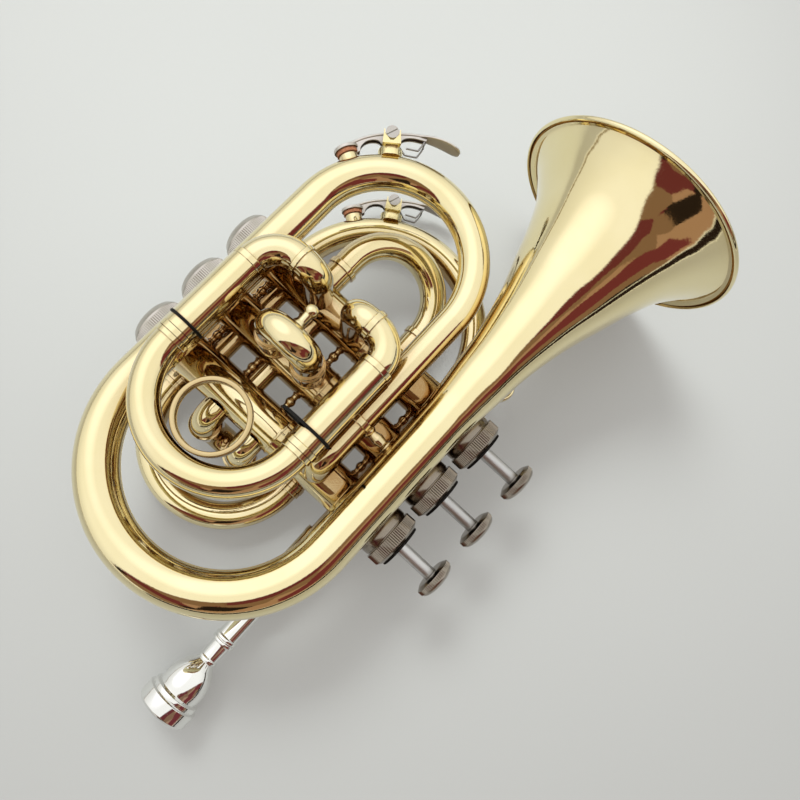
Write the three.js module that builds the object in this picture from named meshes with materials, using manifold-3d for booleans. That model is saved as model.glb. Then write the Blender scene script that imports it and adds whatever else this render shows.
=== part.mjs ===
// A pocket trumpet, lying on its right side as it is put down between tunes.
// Built in the frame of its valves: +X runs forward to the bell, +Y from the finger buttons to the
// bottom caps and +Z to the player's left. The origin is where the middle valve's axis meets the plane
// of the top caps. The last lines set the whole instrument down on the ground. Lengths in millimetres.

import * as THREE from 'three';
import { mergeVertices } from 'three/addons/utils/BufferGeometryUtils.js';
import Module from 'manifold-3d';

const wasm = await Module();
wasm.setup();

// How finely round things are divided
const sides = { tube: 10, wide: 12, bow: 12, flare: 24, turned: 14, casing: 16, rod: 8, small: 6 };
const bowSteps = { long: 10, middle: 9, short: 7, elbow: 3 };

// Fits
const gap = 0.3;              // running gap between pieces that slide, turn or seat
const overrun = 2;            // how far a cutter runs past what it cuts
const weld = 0.001;           // points nearer than this are one point

// Valve block
const pitch = 27;             // from one valve axis to the next
const casing = { radius: 9.5, wall: 1, start: 2.4, end: 140.4, port: 5.4 };
const piston = { start: 22, end: 106, radius: 8.2, passage: 4.2, chamfer: 1 };
const stem = { radius: 2.45, hole: 2.9, top: -17.8 };
const button = { radius: 9, underside: 6.6, lip: 0.9, rim: 4.2, dome: 2 };
const domeShares = [[0.45, 0.8], [0.85, 0.42], [1, 0]];   // of the button's dome: rise, and way out
const topCap = { radius: 12.35, waist: 11.6, groove: 11.2, face: 9.95, plate: 2, bevel: 1.4, ring: 5.4,
  grooveWidth: 0.7, end: 12.3 };
const bottomCap = { lap: 11.8, depth: 14.4, radius: 12, face: 8.2, plate: 2.3, round: 3.2, crown: 1.1, vent: 2 };
bottomCap.start = casing.end - bottomCap.lap;
bottomCap.end = bottomCap.start + bottomCap.depth;
const capFelt = { radius: 9.95, hole: 3.1, thickness: 1.1 };
const pistonSpring = { radius: 6.6, wire: 0.55, turns: 6, sides: 3, steps: 8 };
const spacer = { radius: 1.5, ball: 2.3, shoulderShare: 0.87, places: [34, 75, 97, 117.5] };
const knuckleY = 57.5;        // the tubes between the casings

// Bell: its throat, mouth and the tube that goes on from it to the first valve
const bell = { y: 22, z: 21, rimX: 142.4, rimRadius: 53.4, wire: 1.3, wall: 0.6, bowX: -48, throat: 9.9 };
// how the flare opens: share of the way from the bow to the rim, and share of the way out to the rim
const flareShares = [[0, 0], [0.312, 0.007], [0.4, 0.024], [0.468, 0.055], [0.556, 0.097], [0.66, 0.2],
  [0.754, 0.337], [0.832, 0.455], [0.902, 0.592], [0.95, 0.745], [0.981, 0.88], [1, 0.985]];
const beadAngles = [150, 75, 0, -75];   // points round the rim's rolled wire
const bottomRunY = 123.5;     // the run along the bottom caps
const returnRunY = 47;        // the run back to the first valve
const bellTube = { atBow: 8.5, atFront: 8, atFrontMiddle: 7.1, atReturn: 6.4, wall: 0.7, frontX: 54.7 };
const returnRun = { radius: 6.2, elbow: 10, collar: 3, collarX: -1 };
const bellBrace = { x: -2.5, radius: 1.9, ball: 2.9, belly: 2.6 };
// a brace's turned end, in shares of its ball: way along the brace, and radius
const braceEndShares = [[0, 0.7], [0.6, 1], [1.2, 0.7]];
const braceNeckShare = 1.3;

// Slide tubing
const slide = { bore: 5.4, leg: 6, sleeve: 6.95, ferrule: 7.3, bow: 6.2, ferruleLength: 2.6 };
const sleeveBore = slide.leg + gap;

// Mouthpiece and leadpipe
const mouthpiece = { rimX: -144.3, length: 87, tip: 4.75, backbore: 3.9 };
// the mouthpiece's outline as it is turned: distance from the rim's face, and radius
const mouthpieceOutside = [[0, 8.8], [0, 10], [0.5, 11.4], [1.6, 12.2], [7.6, 12.2], [8.1, 11], [8.6, 11.2],
  [10.2, 11.1], [10.9, 9.5], [14, 9.8], [17.5, 9.4], [20.8, 8.4], [23.4, 7], [25.4, 5.4], [27, 4], [27.7, 4.6],
  [28.7, 4.6], [29.2, 4.1], [36.4, 4.5], [36.9, 5.5], [38, 5.5], [38.4, 4.9], [38.8, 5.5], [39.9, 5.5],
  [40.3, 4.9]];
const mouthpieceInside = [[19.5, 1.85], [14.5, 1.85], [10.5, 4.5], [4.7, 7.6]];
const receiver = { start: -84, end: -46, bore: 5.75, mouth: 7.4, body: 6.7, ring: 2.2 };
const leadpipe = { y: 27, z: -20.2, start: -50, bowX: 41, startRadius: 5.4, radius: 5.8, wall: 0.65 };
const backRun = { y: 122, z: -25.1 };
const tuning = { bowX: -42.4, legs: 27, sleeveEnd: -8, y: 52.6, z: -21.8 };
const feed = { y: 55.5, z: -18.5, bowX: 51, portY: 99, ferruleX: 46.5, slope: 5, ease: 55 };

// Third valve slide: two elbows, two sleeves and the bow with the finger ring
const third = { z: 37.2, upperY: 119, lowerY: 55.3, upperPort: 96.5, lowerPort: 76, bowX: -30.2, upperTurn: 13,
  lowerTurn: 10.6, elbow: 7.4, legs: 36 };
const fingerRing = { radius: 15.3, wall: 2.2, height: 5.4 };
const band = { radius: 7.9, length: 1.2, upperX: -21.2, lowerX: -19.4, reach: 8 };

// Second valve slide, which stands up to the player's left
const second = { nearY: 77, farY: 96, sleeveTop: 25, legs: 13, bowZ: 36.5 };
const knob = { ball: 2.9, collar: 2.4, stalk: 4.6, neck: 1.7 };
// the knob's ball, in shares of its radius: way out from the stalk, and radius
const knobShares = [[0, 0.8], [0.6, 1], [1.4, 0.8], [1.8, 0]];

// First valve slide, which hangs down to the right
const first = { nearY: 76, farY: 96, turn: 7.2, legs: 6.2, bowZ: -14.7, stub: 0.8, shoulder: 0.7 };

// Water keys
const key = { nipple: 4, nippleHeight: 1.9, nippleBore: 1.6, seal: 0.15, cork: 4.2, corkThickness: 2.2,
  cup: 5.3, cupRoof: 0.9, cupLip: 1.1, pivotHeight: 7.2, barrel: 2.1, barrelLength: 10, hole: 1.3, screw: 1, head: 2.5,
  headThickness: 1.2, slot: 0.6, arm: 1.5, armWidth: 4.2, thumbWidth: 8.6, ear: 1.4, earTop: 3.3, earFoot: 5.2,
  foot: 1.8, wire: 0.4 };
// the sweep of a water key's lever: the way along the bow from its pivot, and the height above the bow
const leverSweep = [[-20.2, 5.5], [-11.5, 7.7], [-4, 9], [3, 9.8], [10, 11], [20, 12.2], [28.6, 12.4]];
const thumbShare = 0.775;     // how far along the sweep the lever widens for the thumb
const keySpring = { coils: 1.6, footAt: 10, tipAt: 18.5, tipHeight: 6.6 };
const keyAngles = { frontBow: 39, leadpipeBow: 33.5 };

// Pinky hook and the posts between the runs
const hook = { x: 52, reach: 24, curl: 7, width: 8, thickness: 2.4 };
const post = { radius: 2.2, flange: 4.6, flangeThickness: 1.4 };

// Worked out from the sizes above
const floorZ = Math.min(bell.z - bell.rimRadius, backRun.z - slide.ferrule);   // the ground
const valves = [-pitch, 0, pitch];
const casingBore = casing.radius - casing.wall;

// Vectors
const X = new THREE.Vector3(1, 0, 0);
const Y = new THREE.Vector3(0, 1, 0);
const Z = new THREE.Vector3(0, 0, 1);
const minus = (v) => v.clone().negate();
const at = (x, y, z) => new THREE.Vector3(x, y, z);
const degrees = (angle) => THREE.MathUtils.degToRad(angle);

// A geometry as one closed body, its points merged and its faces turned outwards
function closed(source) {
  const bare = new THREE.BufferGeometry();
  bare.setAttribute('position', source.getAttribute('position'));
  if (source.index) bare.setIndex(source.index);
  const geometry = mergeVertices(bare, weld);
  const place = geometry.getAttribute('position');
  const faces = [];
  let volume = 0;
  const [a, b, c] = [at(0, 0, 0), at(0, 0, 0), at(0, 0, 0)];
  for (let i = 0; i < geometry.index.count; i += 3) {
    const [ia, ib, ic] = [0, 1, 2].map((k) => geometry.index.getX(i + k));
    if (ia === ib || ib === ic || ic === ia) continue;
    faces.push(ia, ib, ic);
    a.fromBufferAttribute(place, ia);
    b.fromBufferAttribute(place, ib);
    c.fromBufferAttribute(place, ic);
    volume += a.dot(b.cross(c));
  }
  if (volume < 0) faces.reverse();
  geometry.setIndex(faces);
  return geometry;
}

function toSolid(geometry) {
  const merged = closed(geometry);
  return new wasm.Manifold(new wasm.Mesh({
    numProp: 3,
    vertProperties: new Float32Array(merged.getAttribute('position').array),
    triVerts: new Uint32Array(merged.index.array),
  }));
}

function toGeometry(solid) {
  const mesh = solid.getMesh();
  const geometry = new THREE.BufferGeometry();
  geometry.setAttribute('position', new THREE.BufferAttribute(new Float32Array(mesh.vertProperties), 3));
  geometry.setIndex(Array.from(mesh.triVerts));
  return geometry;
}

function joined(geometry, ...others) {
  return toGeometry(others.reduce((sum, other) => sum.add(toSolid(other)), toSolid(geometry)));
}

function carved(geometry, ...cutters) {
  return toGeometry(cutters.reduce((rest, cutter) => rest.subtract(toSolid(cutter)), toSolid(geometry)));
}

// A turned piece: profile is a list of [distance along the axis, radius] from start to start
function turned(profile, sides, origin, axis) {
  const outline = profile.map(([along, radius]) => new THREE.Vector2(radius, along));
  const [head, tail] = [outline[0], outline.at(-1)];
  if (head.x > 0 || tail.x > 0) outline.push(head.clone());
  const geometry = new THREE.LatheGeometry(outline, sides);
  geometry.applyQuaternion(new THREE.Quaternion().setFromUnitVectors(Y, axis));
  geometry.translate(origin.x, origin.y, origin.z);
  return geometry;
}

function rod(from, to, radius, sides) {
  const axis = to.clone().sub(from);
  const length = axis.length();
  return turned([[0, 0], [0, radius], [length, radius], [length, 0]], sides, from, axis.normalize());
}

// A plate: an outline in the XY plane, extruded along Z about a height
function plate(shape, width, middleZ, curveSegments) {
  const geometry = new THREE.ExtrudeGeometry(shape, { depth: width, bevelEnabled: false, curveSegments });
  geometry.translate(0, 0, middleZ - width / 2);
  return geometry;
}

// A length of tubing, laid the way a plumber lays it: ahead, round a bend, or a step in its outside
class Pipe {
  constructor(start, heading, side, radius, bore, sides) {
    Object.assign(this, { sides, radius, bore, outer: [], inner: [], straight: false });
    this.p = start.clone();
    this.t = heading.clone();
    this.u = side.clone();
    this.ring(this.outer, radius);
    this.ring(this.inner, bore);
  }

  ring(skin, radius) {
    const v = this.t.clone().cross(this.u);
    const points = [];
    for (let k = 0; k < this.sides; k += 1) {
      const turn = (2 * Math.PI * k) / this.sides;
      points.push(this.p.clone().addScaledVector(this.u, radius * Math.cos(turn))
        .addScaledVector(v, radius * Math.sin(turn)));
    }
    skin.push(points);
  }

  // change the outside radius, and the bore if one is given, at a shoulder
  step(radius, bore = this.bore) {
    this.radius = radius;
    this.ring(this.outer, radius);
    if (bore !== this.bore) {
      this.bore = bore;
      this.straight = false;
      this.ring(this.inner, bore);
    }
    return this;
  }

  ahead(length, radius = this.radius, bore = this.bore) {
    const sameBore = bore === this.bore;
    this.p.addScaledVector(this.t, length);
    Object.assign(this, { radius, bore });
    this.ring(this.outer, radius);
    if (this.straight && sameBore && this.inner.length > 1) this.inner.pop();
    this.ring(this.inner, bore);
    this.straight = sameBore;
    return this;
  }

  bend(bendRadius, angle, toward, steps, radius = this.radius, bore = this.bore) {
    const centre = this.p.clone().addScaledVector(toward, bendRadius);
    const axis = this.t.clone().cross(toward).normalize();
    const [radius0, bore0] = [this.radius, this.bore];
    for (let k = 1; k <= steps; k += 1) {
      const q = new THREE.Quaternion().setFromAxisAngle(axis, angle / steps);
      this.p.sub(centre).applyQuaternion(q).add(centre);
      this.t.applyQuaternion(q);
      this.u.applyQuaternion(q);
      this.ring(this.outer, THREE.MathUtils.lerp(radius0, radius, k / steps));
      this.ring(this.inner, THREE.MathUtils.lerp(bore0, bore, k / steps));
    }
    Object.assign(this, { radius, bore, straight: false });
    return this;
  }

  // a raised band round the tube
  collar(length, radius) {
    const plain = this.radius;
    return this.step(radius).ahead(length).step(plain);
  }

  geometry() {
    const points = [];
    const faces = [];
    const skin = (rings, inward) => {
      const base = rings.map((ring) => {
        const start = points.length;
        points.push(...ring);
        return start;
      });
      for (let i = 0; i + 1 < base.length; i += 1) this.wall(faces, base[i], base[i + 1], inward);
      return base;
    };
    const outer = skin(this.outer, false);
    const inner = skin(this.inner, true);
    this.wall(faces, inner[0], outer[0], false);
    this.wall(faces, outer.at(-1), inner.at(-1), false);
    const geometry = new THREE.BufferGeometry().setFromPoints(points);
    geometry.setIndex(faces);
    return closed(geometry);
  }

  wall(faces, low, high, inward) {
    for (let k = 0; k < this.sides; k += 1) {
      const n = (k + 1) % this.sides;
      const quad = [low + k, low + n, high + n, low + k, high + n, high + k];
      faces.push(...(inward ? quad.reverse() : quad));
    }
  }
}

// Materials
const metal = (color, roughness) => new THREE.MeshStandardMaterial({ color, roughness, metalness: 1 });
const brass = metal(0xd8bd76, 0.12);
const nickel = metal(0xa79f96, 0.32);
const satin = metal(0xb9b9b6, 0.38);
const silver = metal(0xe2e0dc, 0.08);
const steel = metal(0x77746f, 0.35);
const felt = new THREE.MeshStandardMaterial({ color: 0x15130f, roughness: 0.95, metalness: 0 });
const cork = new THREE.MeshStandardMaterial({ color: 0x8b4a32, roughness: 0.85, metalness: 0 });

const trumpet = new THREE.Group();
function add(name, geometry, material) {
  const mesh = new THREE.Mesh(closed(geometry), material);
  mesh.name = name;
  trumpet.add(mesh);
  return mesh;
}

// Bell flare: turned round its own axis, with the rolled rim wire
function bellFlare() {
  const length = bell.rimX - bell.bowX;
  const rise = bell.rimRadius - bell.wire - bell.throat;
  const curve = new THREE.SplineCurve(flareShares.map(([along, out]) => (
    new THREE.Vector2(along * length, bell.throat + out * rise))));
  const steps = flareShares.length;
  const outside = [];
  const inside = [];
  for (let k = 0; k <= steps; k += 1) {
    const t = k / steps;
    const p = curve.getPoint(t);
    const slope = curve.getTangent(t);
    outside.push([p.x, p.y]);
    inside.push([p.x + bell.wall * slope.y, p.y - bell.wall * slope.x]);
  }
  inside[0] = [0, bell.throat - bell.wall];
  const bead = [];
  const beadCentre = [length - bell.wire, bell.rimRadius - bell.wire];
  for (const turn of beadAngles) {
    bead.push([beadCentre[0] + bell.wire * Math.cos(degrees(turn)),
      beadCentre[1] + bell.wire * Math.sin(degrees(turn))]);
  }
  const profile = [...outside.slice(0, -1), ...bead, ...inside.slice(0, -1).reverse()];
  return turned(profile, sides.flare, at(bell.bowX, bell.y, bell.z), X);
}
add('bell_flare', bellFlare(), brass);

const bellBowRadius = (bottomRunY - bell.y) / 2;
add('bell_rear_bow', new Pipe(at(bell.bowX, bell.y, bell.z), minus(X), Z, bell.throat,
  bell.throat - bellTube.wall, sides.bow)
  .bend(bellBowRadius, Math.PI, Y, bowSteps.long, bellTube.atBow, bellTube.atBow - bellTube.wall)
  .geometry(), brass);

add('bell_bottom_run', new Pipe(at(bell.bowX, bottomRunY, bell.z), X, Z, bellTube.atBow,
  bellTube.atBow - bellTube.wall, sides.bow)
  .ahead(bellTube.frontX - bell.bowX, bellTube.atFront, bellTube.atFront - bellTube.wall)
  .geometry(), brass);

// Front bow of the bell tube, with the seat of its water key
const frontBowRadius = (bottomRunY - returnRunY) / 2;
const frontBowCentre = at(bellTube.frontX, (bottomRunY + returnRunY) / 2, bell.z);
// a direction in the plane of a bow, turned by an angle from straight ahead
const outward = (angle) => at(Math.cos(degrees(angle)), Math.sin(degrees(angle)), 0);

// where a water key sits on a bow: the bow's centre, the radius of its outside and the pivot's angle
function keySeat(centre, outerRadius, pivotAngle) {
  const pivotRadius = outerRadius + key.pivotHeight;
  // the direction, and the place, a way along the bow from the pivot and a height above the bow
  const direction = (along) => outward(pivotAngle - THREE.MathUtils.radToDeg(along / pivotRadius));
  const place = (along, height) => centre.clone().addScaledVector(direction(along), outerRadius + height);
  return { direction, place };
}
const cupAlong = leverSweep[0][0];

// the seat the cork closes, and the hole through it
function nipple(seat) {
  const sunk = slide.bow - slide.bore + key.nippleHeight;
  return {
    body: rod(seat.place(cupAlong, -sunk), seat.place(cupAlong, key.nippleHeight), key.nipple, sides.tube),
    bore: rod(seat.place(cupAlong, -sunk - overrun), seat.place(cupAlong, key.nippleHeight + overrun),
      key.nippleBore, sides.small),
  };
}

const frontPipe = new Pipe(at(bellTube.frontX, bottomRunY, bell.z), X, Z, bellTube.atFront,
  bellTube.atFront - bellTube.wall, sides.wide)
  .bend(frontBowRadius, Math.PI / 2, minus(Y), bowSteps.long / 2, bellTube.atFrontMiddle,
    bellTube.atFrontMiddle - bellTube.wall)
  .bend(frontBowRadius, Math.PI / 2, minus(X), bowSteps.long / 2, bellTube.atReturn,
    bellTube.atReturn - bellTube.wall);
const frontSeat = keySeat(frontBowCentre, frontBowRadius + THREE.MathUtils.lerp(bellTube.atFrontMiddle,
  bellTube.atFront, degrees(keyAngles.frontBow) / (Math.PI / 2)), keyAngles.frontBow);
const frontNipple = nipple(frontSeat);
add('bell_front_bow', carved(joined(frontPipe.geometry(), frontNipple.body), frontNipple.bore), brass);

// A cylinder round a valve's axis, a running gap larger than the casing
const casingClearance = (x) => rod(at(x, -overrun, 0), at(x, bottomCap.end, 0), casing.radius + gap, sides.casing);

// Return run, over the casings and down into the first valve
const returnStraight = bellTube.frontX - (valves[0] + returnRun.elbow);
const collarAt = bellTube.frontX - returnRun.collarX;
add('bell_return_run', carved(new Pipe(at(bellTube.frontX, returnRunY, bell.z), minus(X), Z,
  bellTube.atReturn, bellTube.atReturn - bellTube.wall, sides.wide)
  .ahead(collarAt, returnRun.radius)
  .collar(returnRun.collar, slide.sleeve)
  .ahead(returnStraight - collarAt - returnRun.collar, returnRun.radius, slide.bore)
  .bend(returnRun.elbow, Math.PI / 2, minus(Z), bowSteps.elbow)
  .ahead(bell.z - returnRun.elbow)
  .geometry(), casingClearance(valves[0])), brass);

// Turned brace between the return run and the bell
function braceProfile(length) {
  const { radius, ball, belly } = bellBrace;
  const half = [[0, 0], ...braceEndShares.map(([along, out]) => [along * ball, out * ball]),
    [braceNeckShare * ball, radius]];
  const mirrored = half.map(([along, out]) => [length - along, out]).reverse();
  return [...half, [length / 2, belly], ...mirrored];
}
const tubeClearance = (start, end, radius) => rod(start, end, radius, sides.casing);
const throatAtBrace = bell.throat + gap;
const braceStart = bell.y + bell.throat - overrun;
const braceEnd = returnRunY - returnRun.radius + overrun;
add('bell_brace', carved(
  turned(braceProfile(braceEnd - braceStart), sides.rod, at(bellBrace.x, braceStart, bell.z), Y),
  tubeClearance(at(bellBrace.x - hook.reach, bell.y, bell.z), at(bellBrace.x + hook.reach, bell.y, bell.z),
    throatAtBrace + gap),
  tubeClearance(at(bellBrace.x - hook.reach, returnRunY, bell.z), at(bellBrace.x + hook.reach, returnRunY, bell.z),
    slide.sleeve + gap)), brass);

// Mouthpiece: turned rim, cup, throat and shank, bored right through
const rimFace = at(mouthpiece.rimX, leadpipe.y, leadpipe.z);
add('mouthpiece', turned([...mouthpieceOutside, [mouthpiece.length, mouthpiece.tip],
  [mouthpiece.length, mouthpiece.backbore], ...mouthpieceInside], sides.turned, rimFace, X), silver);

// Receiver the mouthpiece is pushed into, and the leadpipe
function receiverProfile() {
  const { start, end, bore, mouth, body, ring } = receiver;
  const length = end - start;
  return [[0, bore], [0, mouth], [ring, mouth], [2 * ring, body], [length - 2 * ring, body],
    [length - ring, mouth], [length, body], [length, bore]];
}
const receiverMouth = at(receiver.start, leadpipe.y, leadpipe.z);
add('mouthpiece_receiver', turned(receiverProfile(), sides.bow, receiverMouth, X), brass);
add('leadpipe', new Pipe(at(leadpipe.start, leadpipe.y, leadpipe.z), X, Z, leadpipe.startRadius,
  leadpipe.startRadius - leadpipe.wall, sides.tube)
  .ahead(leadpipe.bowX - leadpipe.start - slide.ferruleLength, leadpipe.radius, leadpipe.radius - leadpipe.wall)
  .collar(slide.ferruleLength, leadpipe.radius + leadpipe.wall)
  .geometry(), brass);

// Leadpipe's front bow. It leans: the leadpipe lies higher above the ground than the back run
const leadpipeBend = at(0, backRun.y - leadpipe.y, backRun.z - leadpipe.z);
const leadpipeBowRadius = leadpipeBend.length() / 2;
const leadpipeBow = (radius, bore, endRadius) => new Pipe(at(leadpipe.bowX, leadpipe.y, leadpipe.z), X, Z,
  radius, bore, sides.tube)
  .bend(leadpipeBowRadius, Math.PI, leadpipeBend.clone().normalize(), bowSteps.long, endRadius, bore)
  .geometry();
const leadpipeKeyY = leadpipeBowRadius * Math.sin(degrees(keyAngles.leadpipeBow));
const leadpipeKeyZ = (leadpipe.z + backRun.z) / 2 + leadpipeKeyY * (leadpipeBend.z / leadpipeBend.y);
const leadpipeSeat = keySeat(at(leadpipe.bowX, (leadpipe.y + backRun.y) / 2, leadpipeKeyZ),
  leadpipeBowRadius + slide.bow, keyAngles.leadpipeBow);
const leadpipeNipple = nipple(leadpipeSeat);
add('leadpipe_front_bow', carved(joined(leadpipeBow(leadpipe.radius, leadpipe.radius - leadpipe.wall, slide.bow),
  leadpipeNipple.body), leadpipeNipple.bore), brass);

// A sleeve that a slide's leg runs in, from a plain tube to its open end
const toSleeve = (pipe, length) => pipe.step(slide.ferrule).ahead(slide.ferruleLength)
  .step(slide.sleeve, sleeveBore).ahead(length - 2 * slide.ferruleLength)
  .step(slide.ferrule).ahead(slide.ferruleLength);
const tuningSleeve = tuning.sleeveEnd - (tuning.bowX + slide.ferruleLength);
const tube = (start, heading, side) => new Pipe(start, heading, side, slide.bow, slide.bore, sides.tube);

const tuningBend = at(0, backRun.y - tuning.y, backRun.z - tuning.z);
const tuningSide = X.clone().cross(tuningBend).normalize();
add('leadpipe_back_run', toSleeve(
  new Pipe(at(leadpipe.bowX, backRun.y, backRun.z), minus(X), tuningSide, slide.sleeve, slide.bore, sides.tube)
    .ahead(slide.ferruleLength).step(slide.bow)
    .ahead(leadpipe.bowX - slide.ferruleLength - tuning.sleeveEnd),
  tuningSleeve).geometry(), brass);
// The feed run leans a little on its way from the tuning slide to its bow
function feedRun() {
  const lean = at(0, tuning.y - feed.y, tuning.z - feed.z);
  const aside = lean.clone().normalize();
  const slope = degrees(feed.slope);
  const eased = 2 * feed.ease * (1 - Math.cos(slope));
  const slant = (lean.length() - eased) / Math.sin(slope);
  const used = 2 * feed.ease * Math.sin(slope) + slant * Math.cos(slope);
  const back = aside.clone().multiplyScalar(-Math.cos(slope)).addScaledVector(X, -Math.sin(slope));
  return toSleeve(new Pipe(at(feed.bowX, feed.y, feed.z), minus(X), tuningSide, slide.sleeve, slide.bore, sides.tube)
    .ahead(slide.ferruleLength).step(slide.bow)
    .ahead(feed.bowX - slide.ferruleLength - tuning.sleeveEnd - used)
    .bend(feed.ease, slope, aside, 1)
    .ahead(slant)
    .bend(feed.ease, slope, back, 1),
  tuningSleeve).geometry();
}
add('valve_feed_run', feedRun(), brass);

const feedBend = at(0, feed.portY - feed.y, -feed.z);
add('valve_feed_bow', carved(tube(at(feed.bowX, feed.y, feed.z), X, Z)
  .bend(feedBend.length() / 2, Math.PI, feedBend.clone().normalize(), bowSteps.middle)
  .ahead(feed.bowX - feed.ferruleX)
  .collar(slide.ferruleLength, slide.sleeve)
  .ahead(feed.ferruleX - slide.ferruleLength - valves[2])
  .geometry(), casingClearance(valves[2])), brass);

// A bow with a leg at each end that runs in a sleeve; it starts where its first leg ends
function slideBow(start, heading, side, toward, { legs, ahead, steps }) {
  const collar = ahead - gap;
  return new Pipe(start, heading, side, slide.leg, slide.bore, sides.tube)
    .ahead(legs)
    .step(slide.sleeve).ahead(Math.min(slide.ferruleLength, collar))
    .step(slide.bow).ahead(Math.max(collar - slide.ferruleLength, gap))
    .bend(toward.length() / 2, Math.PI, toward.clone().normalize(), steps)
    .ahead(Math.max(collar - slide.ferruleLength, gap))
    .step(slide.sleeve).ahead(Math.min(slide.ferruleLength, collar))
    .step(slide.leg).ahead(legs)
    .geometry();
}

const tuningLegEnd = tuning.bowX + slide.ferruleLength + tuning.legs;
add('tuning_slide', slideBow(at(tuningLegEnd, tuning.y, tuning.z), minus(X), tuningSide, tuningBend, {
  legs: tuning.legs, ahead: slide.ferruleLength, steps: bowSteps.middle }), brass);

// Casings. The middle one carries the tubes and the turned spacers to its neighbours
const port = (x, y, direction) => rod(at(x, y, 0), at(x, y, 0).addScaledVector(direction, casing.radius + overrun),
  casing.port, sides.tube);
const casingBarrel = (x) => turned([[casing.start, casing.radius], [casing.end, casing.radius],
  [casing.end, casingBore], [casing.start, casingBore]], sides.casing, at(x, 0, 0), Y);
const [far, middle, near] = [valves[0], valves[1], valves[2]];
add('valve_casing_1', carved(casingBarrel(far), port(far, returnRunY, Z), port(far, first.nearY, minus(X)),
  port(far, first.farY, minus(X)), port(far, knuckleY, X)), brass);
add('valve_casing_3', carved(casingBarrel(near), port(near, third.upperPort, Z), port(near, third.lowerPort, Z),
  port(near, knuckleY, minus(X)), port(near, feed.portY, X)), brass);

function spacerPost(y) {
  const reach = pitch / 2;
  const half = [[casing.radius - overrun / 2, spacer.radius], [reach - spacer.ball, spacer.radius],
    [reach - spacer.ball / 2, spacer.ball * spacer.shoulderShare]];
  const mirrored = half.map(([along, radius]) => [pitch - along, radius]).reverse();
  return turned([[half[0][0], 0], ...half, [reach, spacer.ball], ...mirrored, [mirrored.at(-1)[0], 0]], sides.small,
    at(0, y, 0), X);
}
const middlePosts = spacer.places.flatMap((y) => {
  const right = spacerPost(y);
  return [right, right.clone().rotateZ(Math.PI).translate(0, 2 * y, 0)];
});
const knuckleTube = tube(at(far, knuckleY, 0), X, Z).ahead(near - far).geometry();
add('valve_casing_2', carved(
  joined(casingBarrel(middle), ...middlePosts, knuckleTube),
  casingClearance(far), casingClearance(near),
  rod(at(middle, -overrun, 0), at(middle, bottomCap.end, 0), casingBore, sides.casing),
  rod(at(far, knuckleY, 0), at(near, knuckleY, 0), slide.bore, sides.tube),
  port(middle, second.nearY, Z), port(middle, second.farY, Z)), brass);

// Caps, felts, pistons, buttons and springs, one set to each valve
function topCapProfile() {
  const { radius, waist, groove, face, plate: thick, bevel, ring, grooveWidth, end } = topCap;
  return [[0, stem.hole], [0, face], [bevel, radius], [bevel + ring, radius], [bevel + ring, groove],
    [bevel + ring + grooveWidth, groove], [bevel + ring + grooveWidth, waist], [end, waist],
    [end, casing.radius + gap], [thick, casing.radius + gap], [thick, stem.hole]];
}
function bottomCapProfile() {
  const { start, end, radius, face, plate: thick, round, crown, vent } = bottomCap;
  return [[start, casing.radius + gap], [start, radius], [end - round, radius], [end - crown, (radius + face) / 2],
    [end, face], [end, vent], [end - thick, vent], [end - thick, casing.radius + gap]];
}
function pistonProfile() {
  const { start, end, radius, chamfer } = piston;
  return [[stem.top, 0], [stem.top, stem.radius], [start, stem.radius], [start, radius - chamfer],
    [start + chamfer, radius], [end - chamfer, radius], [end, radius - chamfer], [end, 0]];
}
function buttonProfile() {
  const { radius, underside, lip, rim, dome } = button;
  return [[0, 0], [0, underside], [lip, radius], [rim, radius],
    ...domeShares.map(([rise, out]) => [rim + rise * dome, out * radius])];
}

// A closed length of wire along a curve
function wireAlong(curve, steps, radius, sides) {
  const frames = curve.computeFrenetFrames(steps, false);
  const points = [];
  const faces = [];
  for (let i = 0; i <= steps; i += 1) {
    const p = curve.getPointAt(i / steps);
    for (let k = 0; k < sides; k += 1) {
      const turn = (2 * Math.PI * k) / sides;
      points.push(p.clone().addScaledVector(frames.normals[i], radius * Math.cos(turn))
        .addScaledVector(frames.binormals[i], radius * Math.sin(turn)));
      const [a, b] = [i * sides + k, i * sides + ((k + 1) % sides)];
      if (i < steps) faces.push(a, b, b + sides, a, b + sides, a + sides);
    }
  }
  for (let k = 1; k + 1 < sides; k += 1) {
    faces.push(0, k + 1, k);
    const last = steps * sides;
    faces.push(last, last + k, last + k + 1);
  }
  const geometry = new THREE.BufferGeometry().setFromPoints(points);
  geometry.setIndex(faces);
  return geometry;
}

class Helix extends THREE.Curve {
  constructor(from, to, radius, turns) {
    super();
    Object.assign(this, { from, to, radius, turns });
  }

  getPoint(t, target = new THREE.Vector3()) {
    const turn = 2 * Math.PI * this.turns * t;
    return target.lerpVectors(this.from, this.to, t)
      .add(at(this.radius * Math.cos(turn), 0, this.radius * Math.sin(turn)));
  }
}

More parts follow.
